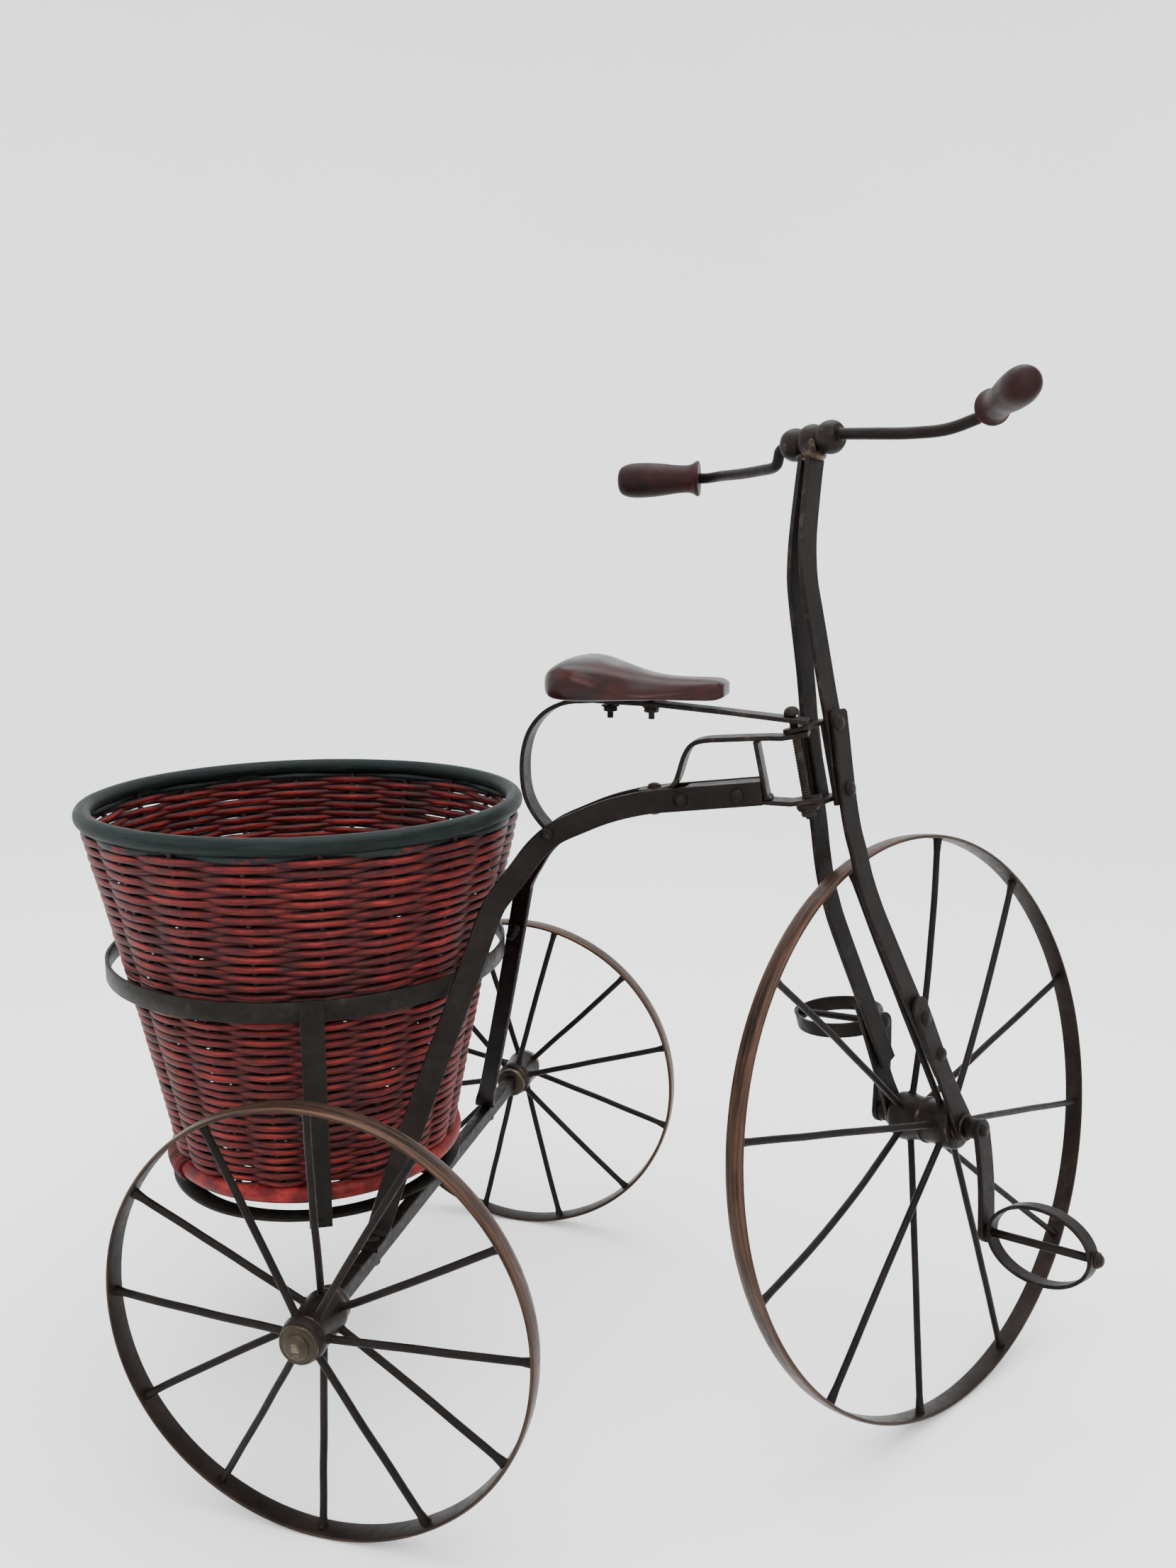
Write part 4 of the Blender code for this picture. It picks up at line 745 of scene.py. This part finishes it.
def spine_bar(hand, side):
    """Flat bar from the head, over the back, splayed past the hoop, to a riveted foot."""
    route = [(x, BAR_Y, spine_line(x)) for x in (0.252, 0.225, 0.1953)]
    route += [(x, BAR_Y, z) for x, z in tenths((1700, 4622), (1439, 4550), (1213, 4453), (
        1022, 4355))]
    route += tenths((882, 124, 4228), (780, 190, 4080), (690, 288, 3940), (622, 391, 3800),
        (509, 538, 3400), (336, 762, 2800), (162, 970, 2200), (35, 1090, 1740), (10, 1105, 1640),
        (0, 1128, 1600), (0, 1160, 1586), (0, 1300, 1586))
    looks = []
    for index in range(len(route)):
        blend = min(1.0, max(0.0, (index - 6) / 3.0))
        look = Vector((0.4 * blend, side * (1.0 - 0.1 * blend), 0.0))
        if index >= len(route) - 3:
            look = Vector((0, 0, 1))
        elif index == len(route) - 4:
            look = Vector((0.1, side, 0.6))
        looks.append(look.normalized())
    path = smooth_path([(x, side * y, z) for x, y, z in route])
    shape = Shape().strap(path, smooth_path(looks), BAR_WIDTH, BAR_THICK, tone=0.5 + 0.1 * side)
    if side > 0:
        for lump, shift in enumerate((-0.004, 0.0, 0.0036)):
            shape.blob((0.0496 + 0.6 * shift, 0.05 - 0.2 * shift, 0.34 + shift),
                (0.0044, 0.003, 0.0036), 2.0 + lump, 0.5)
    iron("spine_" + hand, shape, "spine_bar_" + hand)
    grip = BAR_THICK + CROSSBAR_HIGH + 2 * GAP
    middle = (0, side * TIE_Y, CROSSBAR_Z - CROSSBAR_HIGH / 2 + grip / 2)
    iron("tie_rivet_" + hand, Shape().rivet(middle, UP, grip), "foot_rivet_" + hand)


def on_pivot(height, forward=0.0, y=0.0):
    """Place measured along the raked bolt and square to it."""
    return PIVOT + PIVOT_AXIS * height + PIVOT_SQUARE * forward + Vector((0, y, 0))


def head():
    reach = 0.0095
    upper = smooth_path(tenths((1640, 0, 4688), (1830, 0, 4718), (1905, 0, 4775), (1975, 0, 4985),
        (2065, 0, 5065), (2300, 0, 5092), (2560, 0, 5110)), 5)
    upper += [on_pivot(HEAD_HIGH, -0.0085), on_pivot(HEAD_HIGH, reach)]
    iron("upper_strap", Shape().strap(upper, UP), "head_strap_upper")
    base = BAR_WIDTH / 2 - STRAP_THICK / 2
    lower = [(x, 0, spine_line(x) - base) for x in (0.164, 0.19, 0.22, 0.25)]
    lower += [on_pivot(HEAD_LOW, -0.0105), on_pivot(HEAD_LOW, reach)]
    iron("lower_strap", Shape().strap(lower, UP), "head_strap_lower")
    foot = Vector((0.2549, 0, spine_line(0.2549) - base + STRAP_THICK / 2))
    top = Vector((0.2462, 0, 0.51 - STRAP_THICK / 2))
    shape = Shape().strap([foot, (foot + top) / 2, top], (1, 0, 0))
    for spot, seed in ((foot, 1.0), (top, 2.0)):
        for y in (-0.006, 0.0, 0.0062):
            shape.blob(spot + Vector((0.0016, y, 0.0002)), (0.0019, 0.0042, 0.0017), seed + y * 90,
                0.5)
    iron("head_pillar", shape, "head_post")


def frame_rivets():
    grip = 2 * (BAR_INNER + BAR_THICK)
    for index, x in enumerate(SPINE_RIVETS):
        rivet = Shape().rivet((x, 0, spine_line(x)), (0, 1, 0), grip)
        iron(f"bar_rivet_{index + 1}", rivet, f"spine_rivet_{index + 1}")
    iron("spring_rivet", Shape().rivet(EYE, (0, 1, 0), grip), "eye_rivet")
    tail_top = 0.4704 + STRAP_THICK / 2
    tail_low = spine_line(0.174) - BAR_WIDTH / 2
    shape = Shape().rivet((0.174, 0, (tail_top + tail_low) / 2), UP, tail_top - tail_low)
    iron("strap_rivet", shape, "tail_rivet")


def seat_spring():
    route = tenths((950, 0, 4380), (866, 0, 4478), (800, 0, 4600), (771, 0, 4750), (778, 0, 4938),
        (832, 0, 5105), (945, 0, 5238), (1100, 0, 5312), (1300, 0, 5333), (1750, 0, 5318),
        (2250, 0, 5278), (2815, 0, 5226))
    path = smooth_path(route[:9]) + [Vector(point) for point in route[9:]]
    facing = [Vector((run.z, 0, -run.x)) for run in tangents(path)]
    shape = Shape().strap(path, facing)
    shape.rod([EYE - Vector((0, STRAP_WIDTH / 2, 0)), EYE + Vector((0, STRAP_WIDTH / 2, 0))],
        0.0055, 28)
    iron("spring_strap", shape, "seat_spring")


# Columns of the saddle's rings that lie on its rubbed edge.
RIDGE_COLUMNS = (0, 1, 23, 24, 25, 43)


def seat():
    """Carved saddle: dished between two ridges behind, waisted, rounded off at the nose."""
    # x, half width, crown, height of the side ridge, lift of the underside
    stations = tenths((1004, 235, 5495, 5475, 50), (1022, 330, 5545, 5512, 34),
        (1075, 420, 5600, 5548, 14), (1160, 476, 5641, 5560, 3), (1260, 488, 5652, 5540, 0),
        (1370, 455, 5636, 5502, 0), (1480, 392, 5606, 5452, 0), (1590, 322, 5572, 5410, 0),
        (1700, 266, 5543, 5396, 0), (1810, 232, 5524, 5404, 0), (1920, 210, 5515, 5416, 0),
        (2030, 200, 5513, 5432, 0), (2130, 190, 5512, 5458, 0), (2200, 176, 5506, 5474, 8),
        (2240, 146, 5488, 5466, 24))
    fine = smooth_path([Vector((x, half, crown)) for x, half, crown, _, _ in stations], 4)
    edges = smooth_path([Vector((x, lift, ridge)) for x, _, _, ridge, lift in stations], 4)
    # share of the half width, share of the way down the side
    walls = ((0.985, 0.1), (1.0, 0.24), (1.0, 0.45), (0.992, 0.66), (0.965, 0.84), (0.92, 0.95),
        (0.86, 1.0))
    rings = []
    for spot, ridge in zip(fine, edges):
        x, half, crown, edge = spot.x, spot.y, spot.z, ridge.z
        base = SEAT_FLOOR + max(ridge.y, 0.0)
        ring = []
        for step in range(25):
            share = -1 + step / 12
            shape_share = abs(share) ** 2.3
            ring.append(Vector((x, half * sin(share * pi / 2) * 0.965, crown + (edge - crown)
                * shape_share)))
        wall = edge - base
        for out, low in walls:
            ring.append(Vector((x, half * out, edge - wall * low)))
        for out in (0.6, 0.3, 0.0, -0.3, -0.6):
            ring.append(Vector((x, half * out, base)))
        for out, low in reversed(walls):
            ring.append(Vector((x, -half * out, edge - wall * low)))
        rings.append(ring)

    def close(ring, push):
        """Rings that round an end over to a point."""
        middle = sum(ring, Vector()) / len(ring)
        out = []
        for share in (0.93, 0.8, 0.58, 0.3, 0.02):
            out.append(
                [Vector((point.x + push * sqrt(1 - share ** 2), middle.y + (point.y - middle.y)
                * share, middle.z + (point.z - middle.z) * (0.35 + 0.65 * share) if share > 0.05
                else middle.z)) for point in ring])
        return out
    rings = close(rings[0], -0.0012)[::-1] + rings + close(rings[-1], 0.0014)
    shape = Shape().loft(rings, lambda row, column: worn(1.0 if column in RIDGE_COLUMNS else 0.1))
    item = piece("saddle", shape, "seat_wood", "frame", "seat")
    smoother = item.modifiers.new("eased", "SUBSURF")
    smoother.levels = smoother.render_levels = 1


def seat_bolt(index, x):
    matrix = STATION @ Matrix.Translation((x, 0, 0))
    shape = Shape(Matrix.Identity(4))
    shape.thread(matrix @ Vector((0, 0, SEAT_FLOOR)), matrix @ Vector((0, 0, 0.5205)),
        SEAT_BOLT_RADIUS, 0.0011)
    shape.nut(matrix @ Matrix.Rotation(0.4 * index, 4, "Z"), 0.0054, 0.5254, 0.5286,
        washer=(0.0066, 0.5288, 0.5299))
    iron(f"saddle_bolt_{index}", shape, f"seat_bolt_{index}")


def pivot_bolt():
    top, low = 0.0412, TAB_LOW - 0.0095
    matrix = STATION @ Matrix.Translation(PIVOT) @ along(PIVOT_AXIS)
    shape = Shape(Matrix.Identity(4))
    shape.thread(matrix @ Vector((0, 0, low)), matrix @ Vector((0, 0, top)), BOLT_RADIUS + 0.0002,
        0.0019, 0.0007)
    iron("steering_bolt", shape, "pivot_bolt")
    shape = Shape(matrix).dome((0, 0, 0.0408), UP, 0.0056, 0.005)
    shape.nut(Matrix.Identity(4), 0.006, 0.0392, 0.0412)
    piece("steering_cap", shape, "brown_iron", "frame", "pivot_dome_nut")
    high = TAB_LOW - STRAP_THICK / 2 - GAP
    shape = Shape(matrix).nut(Matrix.Rotation(0.3, 4, "Z"), 0.006, high - 0.0055, high - 0.0013,
        washer=(0.0074, high - 0.0012, high))
    piece("steering_nut", shape, "brown_iron", "frame", "pivot_nut")


# ---- basket holder
def holder():
    space = STATION @ Matrix.Translation((BASKET_X, 0, 0))

    def band(outer, inner, low, high):
        e = 0.0005
        return [(inner + e, high), (inner, high - e), (inner, low + e), (inner + e, low),
            (outer - e, low), (outer, low + e), (outer, high - e), (outer - e, high)]
    wear = (0.9, 0.9, 0.9, 0.9, 1, 1, 1, 1)
    for name, size, steps, uneven, seed in (("hoop", (HOOP_RADIUS, HOOP_RADIUS - HOOP_THICK,
            HOOP_LOW, HOOP_HIGH), 180, 0.0005, 5.0),
            ("ring", (RING_OUTER, RING_INNER, RING_LOW, RING_HIGH), 150, 0.0004, 6.0)):
        shape = Shape(space).lathe(band(*size), None, steps, True, wear, uneven, seed)
        piece(name, shape, "olive_iron", "frame", "basket_" + name)
    for name, side in SIDES:
        outward = Vector((cos(STAY_ANGLE), side * sin(STAY_ANGLE), 0))
        top_reach = HOOP_RADIUS + HOOP_THICK / 2 + GAP + 0.0006
        low_reach = RING_OUTER + HOOP_THICK / 2 + GAP + 0.0006
        hang = Vector((BASKET_X, 0, 0))
        top, knee = (hang + outward * top_reach + UP * z for z in (HOOP_HIGH + 0.0015,
            HOOP_LOW - 0.001))
        low, shin = (hang + outward * low_reach + UP * z for z in (RING_LOW - 0.0035,
            RING_HIGH + 0.001))
        path = [top] + [top.lerp(knee, s) for s in (0.4, 0.8)]
        path += [knee.lerp(shin, s) for s in (0.02, 0.1, 0.3, 0.5, 0.7, 0.9, 0.98)]
        path += [shin.lerp(low, s) for s in (0.2, 0.6)] + [low]
        shape = Shape().strap(path, outward, STAY_WIDTH, HOOP_THICK)
        face = hang + outward * (top_reach + HOOP_THICK / 2) + UP * (HOOP_LOW + HOOP_HIGH) / 2
        shape.dome(face + UP * 0.0008, outward, 0.0034, 0.0014)
        shape.blob(hang + outward * low_reach + UP * (RING_LOW + 0.0012) - outward * 0.0014,
            (0.002, 0.005, 0.0022), 3.0 * side, 0.4)
        piece("stay_" + name, shape, "olive_iron", "frame", "basket_stay_" + name)
        y = side * BEARER_Y
        half = sqrt(RING_OUTER ** 2 - y ** 2) - 0.002
        path = [(BASKET_X - half + (2 * half - 0.006) * step / 12, y, BEARER_Z)
            for step in range(13)]
        shape = Shape().strap(path, (0, 1, 0), 2 * (BEARER_Z - RING_HIGH - GAP), BEARER_THICK)
        piece("bearer_" + name, shape, "olive_iron", "frame", "basket_bearer_" + name)


# ---- woven basket
CANE_OUT, CANE_HIGH, WEAVE_DEPTH = 0.00185, 0.0023, 0.0027
WEAVE_LOW, WEAVE_HIGH, ROWS = 0.1812, 0.44, 74
STAKE_LOW, STAKE_HIGH, BASE_Z, PAINT_FROM = 0.18, 0.444, 0.1836, 0.4335
BASKET = STATION @ Matrix.Translation((BASKET_X, 0, 0))


def wall_middle(height):
    """Middle of the woven wall, whose outside is the CAD's cone."""
    share = (height - 0.18) / 0.26
    return 0.1105 + 0.049 * share + 0.006 * share * share - CANE_OUT - WEAVE_DEPTH + GAP


def cane_tone(row, turn):
    """Each row is a few canes long; every cane has its own tone."""
    cell = floor((turn + row * 2.399) / 1.37)
    return 0.5 + 0.5 * noise.noise(Vector((cell * 3.7 + 0.5, row * 1.91 + 0.3, 0.7)))


def strand(shape, samples, sides, course):
    """One closed strand; course gives its radius, height, half sizes and marks at a turn."""
    rings, marks = [], []
    for turn in circle(samples):
        radius, height, out, tall, mark = course(turn)
        ring = []
        for bend in circle(sides):
            r = radius + out * cos(bend)
            ring.append((r * cos(turn), r * sin(turn), height + tall * sin(bend)))
            marks.append(mark(bend))
        rings.append(ring)
    shape.loft(rings, lambda r, p: marks[r * sides + p], loop=True)


def weave_rows(shape, first, last):
    for row in range(first, last):
        share = row / (ROWS - 1)
        level = WEAVE_LOW + (WEAVE_HIGH - WEAVE_LOW) * (0.95 * share + 0.05 * share * share)
        thick = 1.0 + 0.05 * share + 0.2 * noise.noise(Vector((row * 1.37, 4.2, 0.0)))

        def course(turn):
            c, s = cos(turn), sin(turn)
            swing = cos(STAKES / 2 * (turn - STAKE_TURN) + pi * row)
            drift = noise.noise(Vector((c * 2.2, s * 2.2, row * 0.83)))
            lift = noise.noise(Vector((c * 3.1, s * 3.1, row * 1.71 + 9.0)))
            slip = noise.noise(Vector((c * 11.0, s * 11.0, row * 2.13 + 4.0)))
            slant = sin(STAKES / 2 * (turn - STAKE_TURN) + 1.3 * row)
            height = level + 0.0008 * lift + 0.0006 * slip + 0.00035 * slant
            flat = copysign(abs(swing) ** 0.75, swing)
            radius = wall_middle(height) + WEAVE_DEPTH * flat + 0.0004 * drift
            tall = (CANE_HIGH + 0.0004 * abs(swing)) * thick * (1.0 + 0.1 * drift)
            tone = cane_tone(row, turn)
            green = max(0.0, min(1.0, (height - PAINT_FROM) / 0.007))
            # The first mark is how proud the cane stands and the third its bend; the material
            # paints shade from both.
            return radius, height, CANE_OUT * thick, tall, lambda bend: (0.5 + 0.5 * swing
                * copysign(1.0, cos(bend) + 0.2), abs(turn - pi) * radius, bend, tone, green)
        strand(shape, 160, 8, course)


def basket():
    bounds = [round(ROWS * part / 3) for part in range(4)]
    for name, first, last in zip(("lower", "middle", "upper"), bounds, bounds[1:]):
        shape = Shape(BASKET)
        weave_rows(shape, first, last)
        piece("weave_" + name, shape, "red_wicker", "basket", "basket_body")
    stakes = Shape(BASKET)
    for index, turn in enumerate(circle(STAKES)):
        turn += STAKE_TURN
        path = []
        for step in range(25):
            height = STAKE_LOW + (STAKE_HIGH - STAKE_LOW) * step / 24
            r = wall_middle(height) + wander(index + 0.5, step / 24, 0.0004)
            sway = turn + wander(index + 0.9, step / 24, 0.006)
            path.append((r * cos(sway), r * sin(sway), height))
        stakes.rod(path, 0.0023, 10, 0.0)
    piece("weave_stakes", stakes, "red_wicker", "basket", "basket_body")
    base = Shape(BASKET)
    for row in range(23):
        reach = 0.01 + 0.0042 * row
        wide = reach > 0.045

        def course(turn):
            swing = cos(STAKES / (2 if wide else 4) * (turn - STAKE_TURN) + pi * row)
            # The first mark is how proud the cane stands, which the material turns into painted
            # shade.
            return reach, BASE_Z + 0.0013 * swing, 0.002, 0.0015, lambda bend: (0.5 + 0.4 * swing,
                abs(turn - pi) * reach, bend, cane_tone(row + 80, turn), 0.0)
        strand(base, 160 if wide else 80, 6, course)
    for turn in circle(STAKES)[:STAKES // 2]:
        turn += STAKE_TURN
        reach = 0.104
        ends = [Vector((reach * cos(turn) * s, reach * sin(turn) * s, BASE_Z)) for s in (-1, -0.5,
            0, 0.5, 1)]
        base.rod(ends, 0.0019, 8, 0.0)
    piece("weave_base", base, "red_wicker", "basket", "basket_body")

    def tube(radius, middle, thick, count):
        return [(radius + thick * cos(turn), middle + thick * sin(turn)) for turn in circle(count)]
    foot = Shape(BASKET).lathe(tube(FOOT_RADIUS, FOOT_Z, FOOT_TUBE, 16), None, 160, True,
        (0.75,) * 16, 0.0005, 8.0)
    # The around mark is squeezed here, which keeps the painted crevice shade off the foot band.
    foot.marks = [(0.85, far, 0.45 * sin(around), 0.62, 0.0) for _, far, around, _, _ in foot.marks]
    winding = []
    # the joint of the foot band, bound with cane
    turns, start, reach, thick = 9, radians(217), radians(18), 0.0073
    for step in range(turns * 12 + 1):
        turn = start + reach * step / (turns * 12)
        roll = 2 * pi * step / 12
        r = FOOT_RADIUS + thick * cos(roll)
        winding.append((r * cos(turn), r * sin(turn), FOOT_Z + thick * sin(roll)))
    foot.rod(winding, 0.0019, 8, 0.0, wear=0.9)
    piece("foot_band", foot, "red_wicker", "basket", "basket_foot")
    rim = Shape(BASKET).lathe(tube(BASKET_RIM_RADIUS, BASKET_RIM_Z, BASKET_RIM_TUBE, 24), None, 200,
        True, (0.3,) * 24, 0.0007, 9.0)
    piece("rim_band", rim, "green_rim", "basket", "basket_rim")


# ---- fork and handlebar
UPPER_ROUTE = tenths((3027, 36, 7082), (2985, 37, 6915), (2914, 41, 6600), (2882, 48, 6400),
    (2873, 58, 6200), (2898, 68, 6000), (2929, 75, 5800), (2959, 82, 5600), (2983, 91, 5420))
UPPER_ROUTE += [(x, UPPER_LEG_Y, z) for x, z in tenths((3004, 5260), (3020, 5150), (3048, 4900), (
    3085, 4640))]
LOWER_ROUTE = [(x, LEG_Y, z) for x, z in tenths((3032, 5225), (3044, 5110), (3064, 4900), (
    3094, 4650))]
LOWER_ROUTE += tenths((3125, 148, 4450), (3156, 162, 4300), (3201, 173, 4100), (3274, 184, 3900),
    (3358, 194, 3720), (3620, 214, 3220), (3780, 227, 2920), (3930, 240, 2640))


def leg_y(z):
    """How far aside a lower leg's middle is, below its bend."""
    return 0.0227 + (0.292 - z) * 0.046


def fork_side(hand, side):
    path = smooth_path([(x, side * y, z) for x, y, z in UPPER_ROUTE], 5)
    shape = Shape(AHEAD).strap(path, (0, side, 0), LEG_WIDTH, LEG_THICK)
    iron("upper_leg_" + hand, shape, "fork_upper_" + hand, "fork")
    path = smooth_path([(x, side * y, z) for x, y, z in LOWER_ROUTE], 5)
    start = (path[0] - path[1]).normalized()
    stations = [path[0] + start * LEG_OVERRUN, path[0] + start * (LEG_OVERRUN - LEG_CORNER)]
    widths = [LEG_WIDTH - 2 * LEG_CORNER] + [LEG_WIDTH] * len(path)
    shape = Shape(AHEAD).strap(stations + path[1:], (0, side, 0), LEG_WIDTH, LEG_THICK, widths)
    for height, forward in BRACKET_RIVETS:
        shape.dome(on_pivot(height, forward, side * (LEG_Y + LEG_THICK / 2)), (0, side, 0), 0.0054,
            0.0029)
    iron("lower_leg_" + hand, shape, "fork_lower_" + hand, "fork")
    out = LEG_THICK / 2 + STRAP_THICK / 2 + 3 * GAP
    path = [(x, side * (leg_y(z) + out), z) for x, z in tenths((3665, 3145), (3720, 3020), (
        3880, 2640), (3985, 2419), (4045, 2292)) + [(FRONT_HUB.x, FRONT_HUB.z)]]
    stations, widths = rounded(path, LEG_WIDTH, end=False)
    eye, eye_widths = rounded(path[-2:], PLATE_EYE, start=False)
    stations, widths = stations[:-1] + eye[1:], widths[:-3] + [0.0176, 0.0203] + eye_widths[1:]
    shape = Shape(AHEAD).strap(stations, (0, side, 0), LEG_WIDTH, STRAP_THICK, widths)
    for x, z in PLATE_RIVETS:
        middle = leg_y(z) + STRAP_THICK / 2 + GAP
        outer = middle + LEG_THICK / 2 + STRAP_THICK / 2 + GAP
        shape.dome((x, side * outer, z), (0, side, 0), 0.0053, 0.003)
    iron("axle_plate_" + hand, shape, "fork_plate_" + hand, "fork")


SIDE_MIDDLE, SIDE_WIDTH = 0.0264, 0.032 - 0.0208     # a side plate: where it is, how wide


def bracket():
    """Open box between the legs, with tabs above and below the head straps."""
    space = AHEAD @ Matrix.Translation(PIVOT) @ Matrix.Rotation(-RAKE, 4, "Y")
    shape = Shape(space)
    inner = UPPER_LEG_Y - LEG_THICK / 2 - GAP
    front, flange = 0.032, 0.0026
    for height in (TAB_HIGH, TAB_LOW):
        path = [(x, 0, height) for x in (front, 0.02, 0.01, 0.0)]
        widths_in = 2 * inner
        stations, widths = rounded(path, widths_in, start=False)
        shape.strap(stations, UP, widths_in, STRAP_THICK, widths)
    high, low = TAB_HIGH + STRAP_THICK * 0.3, TAB_LOW - STRAP_THICK * 0.3
    for side in (-1, 1):
        path = [(SIDE_MIDDLE, side * (inner - flange / 2), low + (high - low) * step / 6)
            for step in range(7)]
        shape.strap(path, (0, side, 0), SIDE_WIDTH, flange)
    iron("pivot_bracket", shape, "fork_bracket", "fork")


def on_bar(x, y, rise):
    """Place on the tilted handlebar, which passes through the knob."""
    return KNOB + Matrix.Rotation(BAR_TILT, 3, "X") @ Vector((x - KNOB.x, y, rise))


BRIGHT_WELD = 1.12


def knob():
    """Three beads on a rod, welded to the tops of the upper bars."""
    bead, neck, reach, spacing = 0.0118, 0.008, 0.0238, 0.016
    outline, wear = [(0.0, reach), (neck * 0.8, reach), (neck, reach - 0.0006)], [0.2, 0.5, 0.9]
    for centre in (spacing, 0.0, -spacing):
        for turn in range(60, -61, -12):
            angle = radians(turn)
            half = (reach - spacing) * sin(angle) / sin(radians(60))
            outline.append((bead * cos(angle) ** 0.55, centre + half * 0.97))
            wear.append(0.75 if abs(turn) < 20 else 0.25)
    outline += [(neck, -reach + 0.0006), (neck * 0.8, -reach), (0.0, -reach)]
    wear += [0.9, 0.5, 0.2]
    matrix = Matrix.Translation(on_bar(KNOB.x, 0, 0)) @ Matrix.Rotation(BAR_TILT, 4, "X")
    shape = Shape(AHEAD).lathe(outline, matrix @ frame_y((0, 0, 0)), 44, False, wear, 0.0003, 2.0)
    for spot, size, seed in (((0.3024, -0.006, 0.709), (0.0072, 0.0052, 0.0036), 1.0),
            ((0.3024, 0.006, 0.709), (0.0072, 0.0052, 0.0036), 5.0),
            ((0.303, 0.0, 0.7072), (0.008, 0.0058, 0.0034), 8.0), ((0.2962, -0.003, 0.714),
            (0.0036, 0.0068, 0.0064), 3.0), ((0.299, -0.004, 0.71), (0.005, 0.006, 0.004), 6.0)):
        shape.blob(spot, size, seed, BRIGHT_WELD)
    piece("bar_knob", shape, "brown_iron", "fork", "handlebar_knob")


def handlebar():
    right = tenths((3050, -170, 0), (3050, -255, 5), (3065, -500, -36), (3130, -750, -69),
        (3200, -980, -78), (3255, -1150, -41), (3262, -1230, -17), (3237, -1303, 8),
        (3137, -1432, 11))
    left = tenths((3050, 170, 0), (3050, 255, 2), (3054, 305, -20), (3062, 326, -65),
        (3075, 354, -104), (3094, 415, -117), (3115, 500, -112), (3185, 800, -85),
        (3250, 1080, -50), (3262, 1220, -42), (3237, 1303, -36), (3137, 1432, -34))
    for hand, route, stout, long in (("right", right, 0.985, 0.06), ("left", left, 1.13, 0.0655)):
        points = [on_bar(*point) for point in route]
        path = [points[0]] + smooth_path(points[1:-1], 6) + [points[-1]]
        shape = Shape(AHEAD).rod(path, BAR_ROD_RADIUS, 18, 0.0003)
        shape.blob(points[1] * 0.82 + points[0] * 0.18, (0.0046, 0.003, 0.0046), 3.3, 0.5)
        iron("bar_rod_" + hand, shape, "handlebar_rod_" + hand, "fork")
        grip(hand, stout, long, points[-2], points[-1])


def grip(hand, stout, long, start, end):
    """Turned wooden handle on the end of the rod; the two differ a little in size."""
    outline = smooth_path(
        [Vector((r, 0, h)) for r, h in tenths((116, 0), (122, 10), (120, 26), (109, 42), (97, 80), (
        96, 130), (100, 190), (110, 275), (118, 360), (121, 440), (121, 510), (112, 572), (
        92, 617), (60, 638), (22, 644))], 3)
    stretch = long / outline[-1].z
    profile = [(BAR_ROD_RADIUS, 0.0)] + [(max(p.x * stout, 0.0), p.z * stretch) for p in outline]
    profile += [(0.0, long + 0.0001)]
    wear = [0.6 if h < 0.004 else 0.25 for r, h in profile]
    matrix = Matrix.Translation(start) @ along(end - start)
    shape = Shape(AHEAD).lathe(profile, matrix, 48, False, wear, 0.0001, 4.0)
    piece("handle_" + hand, shape, "grip_wood", "fork", "grip_" + hand)


# ---- studio
CAMERA_PLACE, CAMERA_DIP, CAMERA_TURN = (0.2432, -0.8718, 0.634), 10.2686, 15.2527
LENS, SENSOR = 28.84, 36.0
FLOOR_REACH, FLOOR_BEND, WALL_TOP = 2.4, 0.8, 3.4


def studio():
    """Pale floor that curves up into a plain wall all round, soft lights and the camera."""
    profile = [(0.0, 0.0), (FLOOR_REACH / 2, 0.0), (FLOOR_REACH, 0.0)]
    for step in range(1, 13):
        turn = pi / 2 * step / 12
        profile.append((FLOOR_REACH + FLOOR_BEND * sin(turn), FLOOR_BEND - FLOOR_BEND * cos(turn)))
    profile += [(FLOOR_REACH + FLOOR_BEND, height) for height in (2.0, WALL_TOP)]
    shape = Shape(Matrix.Identity(4)).lathe(profile, None, 96)
    mesh = bpy.data.meshes.new("studio_floor")
    mesh.from_pydata(shape.verts, [], shape.faces)
    mesh.shade_smooth()
    mesh.materials.append(plain_stage())
    show("studio_floor", mesh)
    world = bpy.data.worlds.new("soft_room")
    bpy.context.scene.world = world
    world.use_nodes = True
    sky = world.node_tree.nodes["Background"]
    sky.inputs["Color"].default_value = (0.9, 0.94, 1.0, 1.0)
    sky.inputs["Strength"].default_value = 1.75
    for name, spot, size, power, tint in (("key", (1.0, -1.7, 2.3), 1.8, 52.0, (1.0, 0.985, 0.96)),
            ("fill", (-1.6, -1.1, 1.7), 1.8, 20.0, (0.93, 0.96, 1.0)), ("top", (0.0, 0.3, 2.7), 2.2,
            84.0, (1.0, 1.0, 1.0))):
        light = bpy.data.lights.new(name, "AREA")
        light.size, light.energy, light.color = size, power, tint
        item = show(name, light)
        item.location = spot
        item.rotation_euler = (Vector((0.0, 0.0, 0.3)) - Vector(spot)).to_track_quat("-Z",
            "Y").to_euler()
    lens = bpy.data.cameras.new("photo_camera")
    lens.lens, lens.sensor_width = LENS, SENSOR
    camera = show("photo_camera", lens)
    camera.location = CAMERA_PLACE
    camera.rotation_euler = (radians(90 - CAMERA_DIP), 0.0, radians(CAMERA_TURN))
    bpy.context.scene.camera = camera


crossbar()
rear_wheel("right", -1, radians(90.0))
rear_wheel("left", 1, radians(74.4))
for side_and_sign in SIDES:
    spine_bar(*side_and_sign)
head()
frame_rivets()
seat_spring()
seat()
for bolt_index, bolt_x in enumerate(SEAT_BOLTS):
    seat_bolt(bolt_index + 1, bolt_x)
pivot_bolt()
holder()
basket()
for side_and_sign in SIDES:
    fork_side(*side_and_sign)
bracket()
knob()
handlebar()
front_wheel()
for hand_name, sign in SIDES:
    pedal(hand_name, sign, crank(hand_name, sign))
studio()
